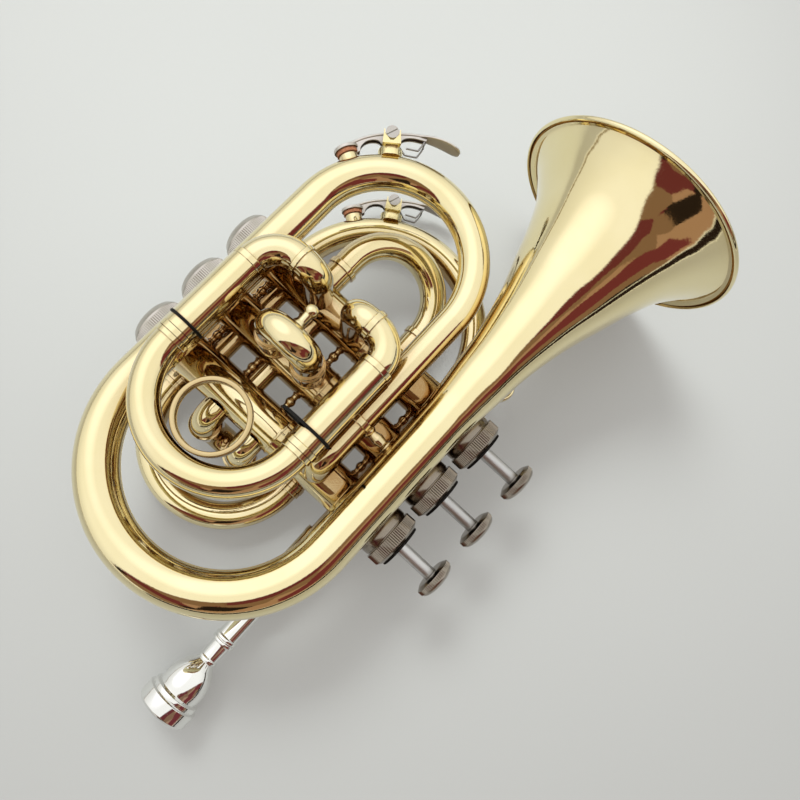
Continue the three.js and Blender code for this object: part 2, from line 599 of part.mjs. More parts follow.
// each piston's open passage, from port through the axis to port
const passages = [
  [at(0, returnRunY, casing.radius), at(casing.radius, knuckleY, 0)],
  [at(-casing.radius, knuckleY, 0), at(casing.radius, knuckleY, 0)],
  [at(-casing.radius, knuckleY, 0), at(casing.radius, feed.portY, 0)],
];
valves.forEach((x, index) => {
  const number = index + 1;
  const axis = at(x, 0, 0);
  add(`top_cap_${number}`, turned(topCapProfile(), sides.casing, axis, Y), nickel);
  add(`bottom_cap_${number}`, turned(bottomCapProfile(), sides.casing, axis, Y), nickel);
  add(`cap_felt_${number}`, turned([[-capFelt.thickness, capFelt.hole], [-capFelt.thickness, capFelt.radius],
    [0, capFelt.radius], [0, capFelt.hole]], sides.casing, axis, Y), felt);
  const [entry, exit] = passages[index].map((p) => p.add(axis));
  const turnPoint = at(x, (entry.y + exit.y) / 2, 0);
  const nudge = exit.clone().sub(entry).setLength(piston.passage / 2);
  add(`piston_${number}`, carved(turned(pistonProfile(), sides.casing, axis, Y),
    joined(rod(entry, turnPoint.clone().add(nudge), piston.passage, sides.rod),
      rod(turnPoint.clone().sub(nudge), exit, piston.passage, sides.rod))), satin);
  add(`finger_button_${number}`, turned(buttonProfile(), sides.casing, at(x, stem.top, 0), minus(Y)), nickel);
  const spring = pistonSpring;
  const helix = new Helix(at(x, piston.end + gap + spring.wire, 0),
    at(x, bottomCap.end - bottomCap.plate - gap - spring.wire, 0), spring.radius, spring.turns);
  add(`valve_spring_${number}`, wireAlong(helix, spring.turns * spring.steps, spring.wire, spring.sides), steel);
});

// Third slide: an elbow and a sleeve to each port, and the bow with the finger ring
const thirdSleeveEnd = third.bowX + slide.ferruleLength;
function thirdElbow(portY, sleeveY, turn) {
  const side = new THREE.Vector3(0, Math.sign(sleeveY - portY), 0);
  const across = Math.abs(sleeveY - portY) - third.elbow - turn;
  return carved(toSleeve(
    tube(at(near, portY, 0), Z, side)
      .ahead(third.z - third.elbow)
      .bend(third.elbow, Math.PI / 2, side, bowSteps.elbow)
      .collar(across, slide.sleeve)
      .bend(turn, Math.PI / 2, minus(X), bowSteps.elbow),
    near - turn - thirdSleeveEnd).geometry(), casingClearance(near));
}
add('third_elbow_lower', thirdElbow(third.upperPort, third.upperY, third.upperTurn), brass);
add('third_elbow_upper', thirdElbow(third.lowerPort, third.lowerY, third.lowerTurn), brass);
const thirdBend = at(0, third.upperY - third.lowerY, 0);
add('third_slide', slideBow(at(thirdSleeveEnd + third.legs, third.lowerY, third.z), minus(X), Z,
  thirdBend, { legs: third.legs, ahead: slide.ferruleLength, steps: bowSteps.long }), brass);
const ringX = third.bowX - thirdBend.length() / 2 + slide.bow + gap + fingerRing.radius;
const ringProfile = ({ radius, wall, height }) => [[-height / 2, radius], [height / 2, radius],
  [height / 2, radius - wall], [-height / 2, radius - wall]];
add('finger_ring', turned(ringProfile(fingerRing), sides.turned, at(ringX, (third.upperY + third.lowerY) / 2, third.z), Z),
  brass);

// Elastic bands on the third slide's sleeves
const bandHole = slide.sleeve + gap;
const bandHalf = band.length / 2;
add('slide_band_lower', turned([[-bandHalf, band.radius], [bandHalf, band.radius], [bandHalf, bandHole],
  [-bandHalf, bandHole]], sides.bow, at(band.upperX, third.upperY, third.z), X), felt);
function oblong(path, radius, reach) {
  path.absarc(reach, 0, radius, -Math.PI / 2, Math.PI / 2, false);
  path.absarc(0, 0, radius, Math.PI / 2, (3 * Math.PI) / 2, false);
  return path;
}
function longBand() {
  const shape = oblong(new THREE.Shape(), band.radius, band.reach);
  shape.holes.push(oblong(new THREE.Path(), bandHole, band.reach));
  return plate(shape, band.length, 0, sides.small)
    .applyMatrix4(new THREE.Matrix4().makeBasis(Y, Z, X).setPosition(band.lowerX, third.lowerY, third.z));
}
add('slide_band_upper', longBand(), felt);

// Second slide: two sleeves on the middle casing and a short bow with its pull knob
function secondSleeve(y) {
  const base = casing.radius - overrun / 2;
  return carved(new Pipe(at(middle, y, base), Z, X, slide.ferrule, sleeveBore, sides.tube)
    .ahead(slide.ferruleLength).step(slide.sleeve)
    .ahead(second.sleeveTop - base - 2 * slide.ferruleLength)
    .step(slide.ferrule).ahead(slide.ferruleLength)
    .geometry(), casingClearance(middle));
}
add('second_sleeve_upper', secondSleeve(second.nearY), brass);
add('second_sleeve_lower', secondSleeve(second.farY), brass);
const secondBend = at(0, second.farY - second.nearY, 0);
const secondTop = at(middle, (second.farY + second.nearY) / 2, second.bowZ + secondBend.length() / 2);
const knobStart = slide.bow - gap;
const knobProfile = [[0, 0], [0, knob.collar], [knob.neck, knob.neck], [knob.stalk - knob.neck, knob.neck],
  ...knobShares.map(([along, out]) => [knob.stalk + along * knob.ball, out * knob.ball])];
add('second_slide', joined(
  slideBow(at(middle, second.nearY, second.sleeveTop + gap - second.legs), Z, X, secondBend,
    { legs: second.legs, ahead: second.bowZ - second.sleeveTop, steps: bowSteps.short }),
  turned(knobProfile, sides.rod, secondTop.clone().add(at(knobStart, 0, 0)), X)), brass);

// First slide: two elbows off the first casing and a short bow that hangs down
const firstX = far - casing.radius - first.stub - first.turn;
const firstBend = at(0, first.farY - first.nearY, 0);
function firstElbow(y) {
  return carved(tube(at(far, y, 0), minus(X), Z)
    .ahead(casing.radius + first.stub)
    .bend(first.turn, Math.PI / 2, minus(Z), bowSteps.elbow)
    .step(slide.ferrule).ahead(first.shoulder)
    .step(slide.ferrule, sleeveBore).ahead(-first.turn - first.bowZ - gap - first.shoulder)
    .geometry(), casingClearance(far));
}
add('first_elbow_upper', firstElbow(first.nearY), brass);
add('first_elbow_lower', firstElbow(first.farY), brass);
add('first_slide', new Pipe(at(firstX, first.nearY, first.bowZ + first.legs), minus(Z), X, slide.leg, slide.bore, sides.tube)
  .ahead(first.legs).step(slide.bow)
  .bend(firstBend.length() / 2, Math.PI, Y, bowSteps.short)
  .step(slide.leg).ahead(first.legs)
  .geometry(), brass);

// Hook for the little finger, soldered to the leadpipe's front bow
function pinkyHook() {
  const { x, reach, curl, width, thickness } = hook;
  const top = leadpipe.y - reach + curl;
  const shape = new THREE.Shape();
  shape.moveTo(x, leadpipe.y);
  shape.lineTo(x, top);
  shape.absarc(x + curl, top, curl, Math.PI, 0, false);
  shape.lineTo(x + 2 * curl - thickness, top);
  shape.absarc(x + curl, top, curl - thickness, 0, Math.PI, true);
  shape.lineTo(x + thickness, leadpipe.y);
  shape.closePath();
  const clearance = leadpipeBow(leadpipe.radius + gap, gap, slide.bow + gap);
  const foot = rod(at(x + thickness / 2, leadpipe.y - leadpipe.radius - thickness, leadpipe.z),
    at(x + thickness / 2, leadpipe.y - gap, leadpipe.z), width / 2, sides.rod);
  const below = rod(at(x - reach, leadpipe.y + leadpipe.radius, leadpipe.z),
    at(x + reach, leadpipe.y + leadpipe.radius, leadpipe.z), leadpipe.radius + thickness, sides.turned);
  return carved(joined(plate(shape, width, leadpipe.z, sides.small), foot), clearance, below);
}
add('pinky_hook', pinkyHook(), brass);

// Posts that hold the runs below to the middle casing
function runPost(y, z, tubeRadius) {
  const height = -z;
  const { radius, flange, flangeThickness } = post;
  const low = tubeRadius;
  const high = height - casing.radius;
  return carved(
    turned([[low - flangeThickness, 0], [low - flangeThickness, flange], [low + flangeThickness, flange],
      [low + 2 * flangeThickness, radius], [high - 2 * flangeThickness, radius], [high - flangeThickness, flange],
      [high + flangeThickness, flange], [high + flangeThickness, 0]], sides.rod, at(middle, y, z), Z),
    casingClearance(middle),
    rod(at(-pitch, y, z), at(pitch, y, z), tubeRadius + gap, sides.casing));
}
const leadpipeShare = (middle - leadpipe.start) / (leadpipe.bowX - leadpipe.start);
const leadpipeAtPost = THREE.MathUtils.lerp(leadpipe.startRadius, leadpipe.radius, leadpipeShare);
add('leadpipe_brace', runPost(leadpipe.y, leadpipe.z, leadpipeAtPost), brass);
add('back_run_brace', runPost(backRun.y, backRun.z, slide.bow), brass);

// Water keys: a saddle on the bow, a lever with its cork, a screw to turn on and a spring
const pivotTube = [
  { name: 1, seat: frontSeat, radius: bellTube.atFront },
  { name: 2, seat: leadpipeSeat, radius: slide.bow },
];
const earAt = key.barrelLength / 2 + gap + key.ear / 2;
pivotTube.forEach(({ name, seat, radius }) => {
  const pivot = seat.place(0, key.pivotHeight);
  const up = seat.direction(0);
  // a frame at the foot of the pivot: X to the thumb's side along the bow, Y out from it
  const frame = new THREE.Matrix4().makeBasis(up.clone().cross(Z), up, Z).setPosition(seat.place(0, 0));
  const bowCentre = seat.place(0, -radius);
  const onBow = rod(bowCentre.clone().addScaledVector(up.clone().cross(Z), -leadpipe.y),
    bowCentre.clone().addScaledVector(up.clone().cross(Z), leadpipe.y), radius + gap, sides.casing);
  const ear = new THREE.Shape();
  ear.moveTo(-key.earFoot, -key.foot);
  ear.lineTo(key.earFoot, -key.foot);
  ear.lineTo(key.earFoot, key.foot / 2);
  ear.absarc(0, key.pivotHeight, key.earTop, 0, Math.PI, false);
  ear.lineTo(-key.earFoot, key.foot / 2);
  ear.closePath();
  const footShape = new THREE.Shape();
  footShape.moveTo(-key.earFoot, -key.foot);
  footShape.lineTo(key.earFoot, -key.foot);
  footShape.lineTo(key.earFoot, key.foot);
  footShape.lineTo(-key.earFoot, key.foot);
  footShape.closePath();
  const screwEnd = earAt + key.ear / 2;
  const along = (z) => pivot.clone().add(at(0, 0, z));
  const eared = (z) => plate(ear, key.ear, z, bowSteps.elbow).applyMatrix4(frame);
  add(`water_key_saddle_${name}`, carved(
    joined(plate(footShape, 2 * screwEnd, 0, 1).applyMatrix4(frame), eared(earAt), eared(-earAt)),
    onBow, rod(along(-earAt - key.ear), along(earAt + key.ear), key.hole, sides.small)), brass);

  const line = new THREE.SplineCurve(leverSweep.map(([way, height]) => new THREE.Vector2(way, height)));
  const edge = (from, offset, steps) => Array.from({ length: steps + 1 }, (_, i) => {
    const p = line.getPoint(from + ((1 - from) * i) / steps);
    return seat.place(p.x, p.y + offset);
  });
  const strip = (from, steps) => {
    const outline = [...edge(from, key.arm / 2, steps), ...edge(from, -key.arm / 2, steps).reverse()];
    return new THREE.Shape(outline.map((p) => new THREE.Vector2(p.x, p.y)));
  };
  const cupTop = key.nippleHeight + key.seal + key.corkThickness + key.seal + key.cupRoof;
  const cupBase = cupTop - key.cupRoof - key.cupLip;
  const cupRod = (from, to, size) => rod(seat.place(cupAlong, from), seat.place(cupAlong, to), size, sides.tube);
  add(`water_key_lever_${name}`, carved(
    joined(plate(strip(0, sides.rod), key.armWidth, pivot.z, 1),
      plate(strip(thumbShare, bowSteps.elbow), key.thumbWidth, pivot.z, 1),
      rod(along(-key.barrelLength / 2), along(key.barrelLength / 2), key.barrel, sides.rod),
      cupRod(cupBase, cupTop, key.cup)),
    rod(along(-key.barrelLength), along(key.barrelLength), key.hole, sides.small),
    cupRod(cupBase - overrun, cupTop - key.cupRoof, key.cork + gap)), silver);
  add(`water_key_cork_${name}`, cupRod(key.nippleHeight + key.seal,
    key.nippleHeight + key.seal + key.corkThickness, key.cork), cork);

  const headStart = screwEnd + key.seal;
  add(`water_key_screw_${name}`, carved(
    turned([[-screwEnd, 0], [-screwEnd, key.screw], [headStart, key.screw], [headStart, key.head],
      [headStart + key.headThickness, key.head], [headStart + key.headThickness, 0]], sides.small, pivot, Z),
    new THREE.BoxGeometry(2 * key.head + overrun, key.slot, key.slot)
      .translate(pivot.x, pivot.y, pivot.z + headStart + key.headThickness)), steel);

  const coil = key.barrel + gap + key.wire;
  const coilZ = -key.barrelLength / 2 + key.wire;
  const turns = Math.round(keySpring.coils * 8);
  const place = (x, y, z) => at(x, y, z).applyMatrix4(frame);
  const spots = [place(keySpring.footAt, key.foot / 2, coilZ)];
  for (let k = 0; k <= turns; k += 1) {
    const turn = -Math.PI / 2 - (k * Math.PI) / 4;
    spots.push(place(coil * Math.cos(turn), key.pivotHeight + coil * Math.sin(turn),
      coilZ + (k / 8) * (2 * key.wire + gap / 2)));
  }
  spots.push(place(keySpring.tipAt, keySpring.tipHeight, coilZ + 4 * key.wire));
  const springLine = new THREE.CatmullRomCurve3(spots, false, 'centripetal');
  add(`water_key_spring_${name}`, wireAlong(springLine, 3 * turns, key.wire, 3), steel);
});

// Set down on the ground, its middle over the origin
const middleX = (mouthpiece.rimX + bell.rimX) / 2;
const middleY = (bell.y - bell.rimRadius + bottomCap.end) / 2;
trumpet.children.forEach((mesh) => mesh.geometry.translate(-middleX, -middleY, -floorZ));

export default trumpet;
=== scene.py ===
"""A pocket trumpet in lacquered brass, set down on its right side on a sheet of pale paper.

Sizes are in millimetres in the frame of the valves: x runs forward to the bell, y from the finger
buttons down to the bottom caps and z to the player's left, from where the middle valve's axis meets
the top caps. TO_FRAME carries a finished piece from there into the frame's metres.
"""
import math
from types import SimpleNamespace as Sizes

import bpy
import bmesh
from mathutils import Matrix, Quaternion, Vector


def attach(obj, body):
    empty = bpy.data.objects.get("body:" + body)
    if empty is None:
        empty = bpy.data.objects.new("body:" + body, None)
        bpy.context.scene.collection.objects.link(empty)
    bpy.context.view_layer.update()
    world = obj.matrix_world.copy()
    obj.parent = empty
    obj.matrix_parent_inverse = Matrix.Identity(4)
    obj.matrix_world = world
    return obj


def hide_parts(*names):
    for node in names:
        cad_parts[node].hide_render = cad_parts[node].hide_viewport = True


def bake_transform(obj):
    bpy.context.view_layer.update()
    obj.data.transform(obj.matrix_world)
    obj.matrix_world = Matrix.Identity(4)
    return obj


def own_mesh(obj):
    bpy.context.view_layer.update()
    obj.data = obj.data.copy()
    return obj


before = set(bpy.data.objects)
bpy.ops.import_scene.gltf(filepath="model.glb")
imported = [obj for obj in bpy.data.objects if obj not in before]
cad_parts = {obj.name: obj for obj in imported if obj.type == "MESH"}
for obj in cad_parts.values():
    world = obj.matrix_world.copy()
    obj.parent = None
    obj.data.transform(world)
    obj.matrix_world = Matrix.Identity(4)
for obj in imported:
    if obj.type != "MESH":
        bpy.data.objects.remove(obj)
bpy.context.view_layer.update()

X, Y, Z = Vector((1, 0, 0)), Vector((0, 1, 0)), Vector((0, 0, 1))
UPRIGHT = Matrix.Identity(4)

# How finely round things are drawn, and how corners are left by turning and buffing
ROUND = Sizes(tube=56, turned=72, flare=144, small=40, post=32, bar=20, wire=12, arc=18, corner=8, bead=20,
              least=4, per_bend=math.radians(2.5), support=1.5)
EDGE, FINE_EDGE = 0.22, 0.1
EASE_STEPS = 3
EASE_SHARE = 0.42
CREASE = math.radians(38)
GAP = 0.3
BAR_CURVE = Sizes(wide=0.45, deep=0.7)

# Valve block
PITCH = 27
VALVES = (-PITCH, 0, PITCH)
FAR, MIDDLE, NEAR = VALVES
CASING = Sizes(radius=9.5, wall=1, start=2.4, end=140.4)
PISTON = Sizes(start=22, end=106, radius=8.2, chamfer=1)
STEM = Sizes(radius=2.95, top=-17.8, hole=3.2)
RIBS = Sizes(size=0.36, stand=0.25, corners=4)
BUTTON = Sizes(radius=9, underside=6.9, lip=1.1, rim=3.4, dome=2.8, ribs=58, plain=0.15)
DOME_SHARES = ((0.25, 0.97), (0.5, 0.87), (0.75, 0.66), (0.93, 0.36), (1, 0))
TOP_CAP = Sizes(radius=12.35, waist=11.6, groove=11.2, face=9.95, plate=2, bevel=1.4, ring=5.4,
                groove_width=0.7, end=12.3, skirt=2.2, skirt_taper=0.5, ribs=80, plain=0.3)
BOTTOM_CAP = Sizes(start=128.6, end=143, radius=12, face=8.2, plate=2.3, round=3.2, crown=1.1, vent=2,
                   ribs=80, plain_above=1.2, plain_below=0.8)
CAP_FELT = Sizes(radius=9.95, hole=3.3, thickness=0.9)
VALVE_SPRING = Sizes(radius=6.6, wire=0.55, turns=8.0, steps=40)
SPACER = Sizes(radius=1.5, ball=2.3, bead_places=(2, 1.6, 1.35), bead_share=0.9, ball_turns=(0.6, 0.9, 1.2),
               places=(34, 75, 97, 117.5))
KNUCKLE_Y = 57.5
CASING_RING = Sizes(start=KNUCKLE_Y + 10, width=1, stand=0.25)
PASSAGES = Sizes(radius=4.4, places=(91, 111))
STROKE = 16.2

# Bell and the tube that goes on from it to the first valve
BELL = Sizes(y=22, z=21, rim_x=142.4, rim_radius=53.4, wire=1.3, wall=0.6, bow_x=-48, throat=9.9)
FLARE_SHARES = ((0, 0), (0.312, 0.007), (0.4, 0.024), (0.468, 0.055), (0.556, 0.097), (0.66, 0.2),
                (0.754, 0.337), (0.832, 0.455), (0.902, 0.592), (0.95, 0.745), (0.981, 0.88), (1, 0.985))
FLARE_STEPS = 88
BEAD_TURNS = (170, -120)
BOTTOM_RUN_Y, RETURN_RUN_Y = 123.5, 47
BELL_TUBE = Sizes(at_bow=8.5, at_front=8, middle=7.1, at_return=6.4, wall=0.7, front_x=54.7)
RETURN_RUN = Sizes(radius=6.2, elbow=10, collar=3, collar_x=-1)
FRONT_BEND = (BOTTOM_RUN_Y - RETURN_RUN_Y) / 2
BELL_BRACE = Sizes(x=-2.5, radius=1.9, ball=2.9, belly=2.6, neck=3, bedded=1.5, edge=0.4)
BRACE_FOOT = ((0, 0.9), (1.6, 1), (2.6, 0.8))

# Slide tubing
SLIDE = Sizes(bore=5.4, leg=6, sleeve=6.95, ferrule=7.3, bow=6.2, ferrule_length=2.6)
SLEEVE_BORE = SLIDE.leg + GAP

# Mouthpiece and leadpipe
MOUTHPIECE = Sizes(rim_x=-144.3, rim=12.2)
RIM_OUTSIDE = ((0, 8.8), (0, 10), (0.5, 11.4), (1.6, 12.2), (7.6, 12.2), (8.1, 11), (8.6, 11.2), (10.2, 11.1))
CUP_OUTSIDE = ((10.9, 9.5), (14, 9.8), (17.5, 9.4), (20.8, 8.4), (23.4, 7), (25.4, 5.4), (27, 4))
SHANK_OUTSIDE = ((27.7, 4.6), (28.7, 4.6), (29.2, 4.1), (36.4, 4.5), (36.9, 5.5), (38, 5.5), (38.4, 4.9),
                 (38.8, 5.5), (39.9, 5.5), (40.3, 4.9), (87, 4.75))
MOUTHPIECE_INSIDE = ((87, 3.9), (19.5, 1.85), (14.5, 1.85), (10.5, 4.5), (4.7, 7.6))
CUP_STEPS = 24
RECEIVER = Sizes(start=-84, end=-46, bore=5.75, mouth=7.4, body=6.7, ring=2.2)
LEADPIPE = Sizes(y=27, start=-50, bow_x=41, start_radius=5.4, radius=5.8, wall=0.65)
BACK_RUN_Y = 122
TUNING = Sizes(bow_x=-42.4, legs=27, sleeve_end=-8, y=52.6, z=-21.8)
FEED = Sizes(y=55.5, z=-18.5, bow_x=51, port_y=99, ferrule_x=46.5, slope=5, ease=55)

# The three valve slides
THIRD = Sizes(z=37.2, upper_y=119, lower_y=55.3, upper_port=96.5, lower_port=76, bow_x=-30.2,
              upper_turn=13, lower_turn=10.6, elbow=7.4, legs=36)
FINGER_RING = Sizes(radius=15.3, wall=2.2, height=5.4, edge=0.7)
BAND = Sizes(radius=7.9, length=1.2, half=0.5, upper_x=-21.2, lower_x=-19.4, reach=8)
SECOND = Sizes(near_y=77, far_y=96, sleeve_top=25, legs=13, bow_z=36.5)
KNOB = Sizes(ball=2.9, collar=2.4, stalk=4.6, neck=1.7, squat=0.9,
             ball_turns=(0.7, 1.0, 1.3, 1.6, 1.9, 2.2, 2.5, 2.8))
FIRST = Sizes(near_y=76, far_y=96, turn=7.2, legs=6.2, clear=1.5, stub=0.8, shoulder=0.7)

# Water keys, hook and posts
KEY = Sizes(nipple=4, nipple_height=1.9, nipple_bore=1.6, seal=0.15, cork=4.6, cork_thickness=2.2, cup=5.3,
            cup_roof=0.9, cup_lip=0.5, crown=0.5, crown_share=0.5, pivot_height=7.2, barrel=2.1,
            barrel_length=10, screw=1, head=2.8, head_thickness=1.2, slot=0.6, slot_turn=-18, ear=1.4)
ARM = Sizes(thickness=1.5, width=4.2, leaf_width=8.6, steps=72, cup_share=0.06)
LEAF = Sizes(from_share=0.70, swell_shares=(0.02, 0.80), tip_share=0.72, tip_least=0.02)
SADDLE = Sizes(foot=5.2, foot_depth=1.8, foot_top_share=1.5, foot_edge=0.6, width_share=0.74, corner=2.6,
               shoulder=0.5, insets=(0, 0.1, 0.5), ears_from_share=1.25, ear_share=0.96, horn=1.1,
               horn_share=0.9, notch_share=0.94, notch_drop=1, notch_foot=(0.7, 3.6))
LEVER_SWEEP = ((-20.2, 5.5), (-11.5, 7.7), (-4, 9), (3, 9.8), (10, 11), (20, 12.2), (28.6, 12.4))
CHEEKS = ((-16.2, -14.3, -4.3, -1.0, 3.2, 2.6), (1.0, 4.1, 13.6, 14.5, 2.2, 0.3))
CHEEK = Sizes(out_share=0.42, thickness=0.8, steps=40)
KEY_SPRING = Sizes(wire=0.4, coil_steps=52, per_turn=32, foot_at=10, points=160, held_height=7,
                   leg=((6.4, 2.8), (11.6, 2.2), (13.4, 5), (14.2, 6.6)))
FRONT_BOW_KEY, LEADPIPE_BOW_KEY, QUARTER = 39, 33.5, 90
CUP_ALONG = LEVER_SWEEP[0][0]
HOOK = Sizes(x=52, reach=22.4, curl=7, width=8, thickness=2.4, stem_steps=10, curl_steps=36, corners=24,
             tip_from=0.8, tip_narrowing=0.35, foot_shares=(0.52, 0.5), foot_lift=0.6)
POST = Sizes(radius=2.2, flange=4.6, flange_thickness=1.4, saddle=4, bedded=0.95, edge=0.5)

# Worked out from the sizes above
GROUND = BELL.z - BELL.rim_radius
LEADPIPE_Z = GROUND + MOUTHPIECE.rim
BACK_RUN_Z = GROUND + SLIDE.ferrule
CASING_BORE = CASING.radius - CASING.wall
MIDDLE_X = (MOUTHPIECE.rim_x + BELL.rim_x) / 2
MIDDLE_Y = (BELL.y - BELL.rim_radius + BOTTOM_CAP.end) / 2
MILLIMETRE = 0.001
TO_FRAME = Matrix.Scale(MILLIMETRE, 4) @ Matrix.Translation((-MIDDLE_X, -MIDDLE_Y, -GROUND))


def at(x, y, z):
    return Vector((x, y, z))


LEADPIPE_BEND = at(0, BACK_RUN_Y - LEADPIPE.y, BACK_RUN_Z - LEADPIPE_Z)
TUNING_BEND = at(0, BACK_RUN_Y - TUNING.y, BACK_RUN_Z - TUNING.z)
TUNING_SIDE = X.cross(TUNING_BEND).normalized()
SLEEVE_LENGTH = TUNING.sleeve_end - (TUNING.bow_x + SLIDE.ferrule_length)


def mix(a, b, share):
    return a + (b - a) * share


# ---------------------------------------------------------------- shapes

class Shell:
    """Points in millimetres and the faces between them"""

    def __init__(self):
        self.points, self.faces = [], []

    def loft(self, rings, loop=False):
        """A skin over rings of points; a ring of one point is a pole, and flat ends are closed"""
        starts = []
        for ring in rings:
            starts.append((len(self.points), len(ring)))
            self.points.extend(ring)
        pairs = list(zip(starts, starts[1:]))
        if loop:
            pairs.append((starts[-1], starts[0]))
        for (low, count), (high, other) in pairs:
            sides = max(count, other)
            for k in range(sides):
                n = (k + 1) % sides
                if count == 1:
                    self.faces.append((low, high + n, high + k))
                elif other == 1:
                    self.faces.append((low + k, low + n, high))
                else:
                    self.faces.append((low + k, low + n, high + n, high + k))
        if not loop:
            for start, count in (starts[0], starts[-1]):
                if count > 2:
                    self.faces.append(tuple(range(start, start + count)))
        return self

    def join(self, *others):
        for other in others:
            base = len(self.points)
            self.points.extend(other.points)
            self.faces.extend(tuple(base + i for i in face) for face in other.faces)
        return self

    def mesh(self, name):
        mesh = bpy.data.meshes.new(name)
        mesh.from_pydata(self.points, [], self.faces)
        tidy = bmesh.new()
        tidy.from_mesh(mesh)
        bmesh.ops.recalc_face_normals(tidy, faces=tidy.faces)
        tidy.to_mesh(mesh)
        tidy.free()
        return mesh


def circle(centre, side, other, radius, sides):
    turns = [2 * math.pi * k / sides for k in range(sides)]
    return [centre + side * (radius * math.cos(t)) + other * (radius * math.sin(t)) for t in turns]


def eased(outline, size=EDGE, loop=False):
    """The outline with its corners rounded, as turning and buffing leave them"""
    points = [Vector(p) for p in outline]
    around = [points[-1], *points, points[0]] if loop else points
    out = [] if loop else [tuple(points[0])]
    for before, corner, after in zip(around, around[1:], around[2:]):
        back, on = before - corner, after - corner
        reach = min(size, back.length * EASE_SHARE, on.length * EASE_SHARE)
        if corner.y == 0 or reach == 0 or math.pi - back.angle(on) < CREASE / 2:
            out.append(tuple(corner))
            continue
        start, end = corner + back.normalized() * reach, corner + on.normalized() * reach
        for k in range(EASE_STEPS + 1):
            t = k / EASE_STEPS
            out.append(tuple(start * (1 - t) ** 2 + corner * (2 * t * (1 - t)) + end * t ** 2))
    return out if loop else [*out, tuple(points[-1])]


def turned(outline, origin=Vector(), axis=Z, sides=ROUND.turned, edge=EDGE):
    """A turned piece: pairs of distance along the axis and radius, from axis to axis or as a closed ring"""
    loop = outline[0][1] > 0 and outline[-1][1] > 0
    side = axis.orthogonal().normalized()
    other = axis.cross(side)
    rings = []
    for along, radius in eased(outline, edge, loop):
        centre = origin + axis * along
        rings.append(circle(centre, side, other, radius, sides) if radius > 0 else [centre])
    return Shell().loft(rings, loop)


def hoop(start, end, inside, outside):
    """The outline of a plain ring, or of a disc where nothing is cut out of it"""
    return (start, inside), (start, outside), (end, outside), (end, inside)


def smooth_curve(points, steps):
    """Points along a curve through the given ones"""
    points = [Vector(p) for p in points]
    out = []
    for k in range(steps + 1):
        place = (len(points) - 1) * k / steps
        i = min(int(place), len(points) - 2)
        t = place - i
        p0, p1, p2 = points[max(i - 1, 0)], points[i], points[i + 1]
        p3 = points[min(i + 2, len(points) - 1)]
        v0, v1 = (p2 - p0) / 2, (p3 - p1) / 2
        cubic, square = 2 * p1 - 2 * p2 + v0 + v1, -3 * p1 + 3 * p2 - 2 * v0 - v1
        out.append(cubic * t ** 3 + square * t ** 2 + v0 * t + p1)
    return out


class Pipe:
    """Tubing laid the way a plumber lays it: ahead, round a bend, or a step in its outside"""

    def __init__(self, start, heading, side, radius, bore):
        self.p, self.t, self.u = start.copy(), heading.copy(), side.copy()
        self.radius, self.bore, self.outer, self.inner = radius, bore, [], []
        self.ring(self.outer, radius)
        self.ring(self.inner, bore)

    def ring(self, skin, radius, shift=0):
        skin.append(circle(self.p + self.t * shift, self.u, self.t.cross(self.u), radius, ROUND.tube))

    def step(self, radius, bore=None):
        """A shoulder, with its outer corner broken"""
        if radius > self.radius:
            self.ring(self.outer, radius - EDGE)
            self.ring(self.outer, radius, EDGE)
        elif radius < self.radius:
            self.outer.pop()
            self.ring(self.outer, self.radius, -EDGE)
            self.ring(self.outer, self.radius - EDGE)
            self.ring(self.outer, radius)
        self.radius = radius
        if bore is not None:
            self.bore = bore
            self.ring(self.inner, bore)
        return self

    def ahead(self, length, radius=None, bore=None):
        end, end_bore = radius or self.radius, bore or self.bore
        shares = [1]
        # a ring near each end keeps the shading of a long straight run even
        if length > 4 * ROUND.support:
            shares = [ROUND.support / length, 1 - ROUND.support / length, 1]
        for share in shares:
            self.ring(self.outer, mix(self.radius, end, share), length * share)
        self.p = self.p + self.t * length
        self.ring(self.inner, end_bore)
        self.radius, self.bore = end, end_bore
        return self

    def bend(self, bend_radius, angle, toward, radius=None, bore=None):
        end, end_bore = radius or self.radius, bore or self.bore
        steps = max(ROUND.least, round(angle / ROUND.per_bend))
        centre = self.p + toward * bend_radius
        turn = Quaternion(self.t.cross(toward).normalized(), angle / steps)
        start, start_bore = self.radius, self.bore
        for k in range(1, steps + 1):
            self.p = centre + turn @ (self.p - centre)
            self.t, self.u = turn @ self.t, turn @ self.u
            self.ring(self.outer, mix(start, end, k / steps))
            self.ring(self.inner, mix(start_bore, end_bore, k / steps))
        self.radius, self.bore = end, end_bore
        return self

    def collar(self, length, radius):
        plain = self.radius
        return self.step(radius).ahead(length).step(plain)

    def shell(self):
        return Shell().loft([*self.outer, *reversed(self.inner)], loop=True)


def swept(path, outward, across, widths, thicknesses, corners=ROUND.bar):
    """A bar along a path: at each point a direction out of its face, its width and its thickness"""

    def rounded(value, curve):
        return math.copysign(abs(value) ** curve, value) / 2

    # a rounded oblong: flat along its width and full at its edges
    turns = [2 * math.pi * k / corners for k in range(corners)]
    section = [(rounded(math.cos(t), BAR_CURVE.wide), rounded(math.sin(t), BAR_CURVE.deep)) for t in turns]
    rings = [[point + across * (width * a) + up * (thickness * b) for a, b in section]
             for point, up, width, thickness in zip(path, outward, widths, thicknesses)]
    ends = [[sum(ring, Vector()) / corners] for ring in (rings[0], rings[-1])]
    return Shell().loft([ends[0], *rings, ends[1]])


def plate(outline, low, high, place):
    """A flat plate: an outline in x and y, from one height to another"""
    rings = [[place @ Vector((x, y, z)) for x, y in outline] for z in (low, high)]
    return Shell().loft(rings)


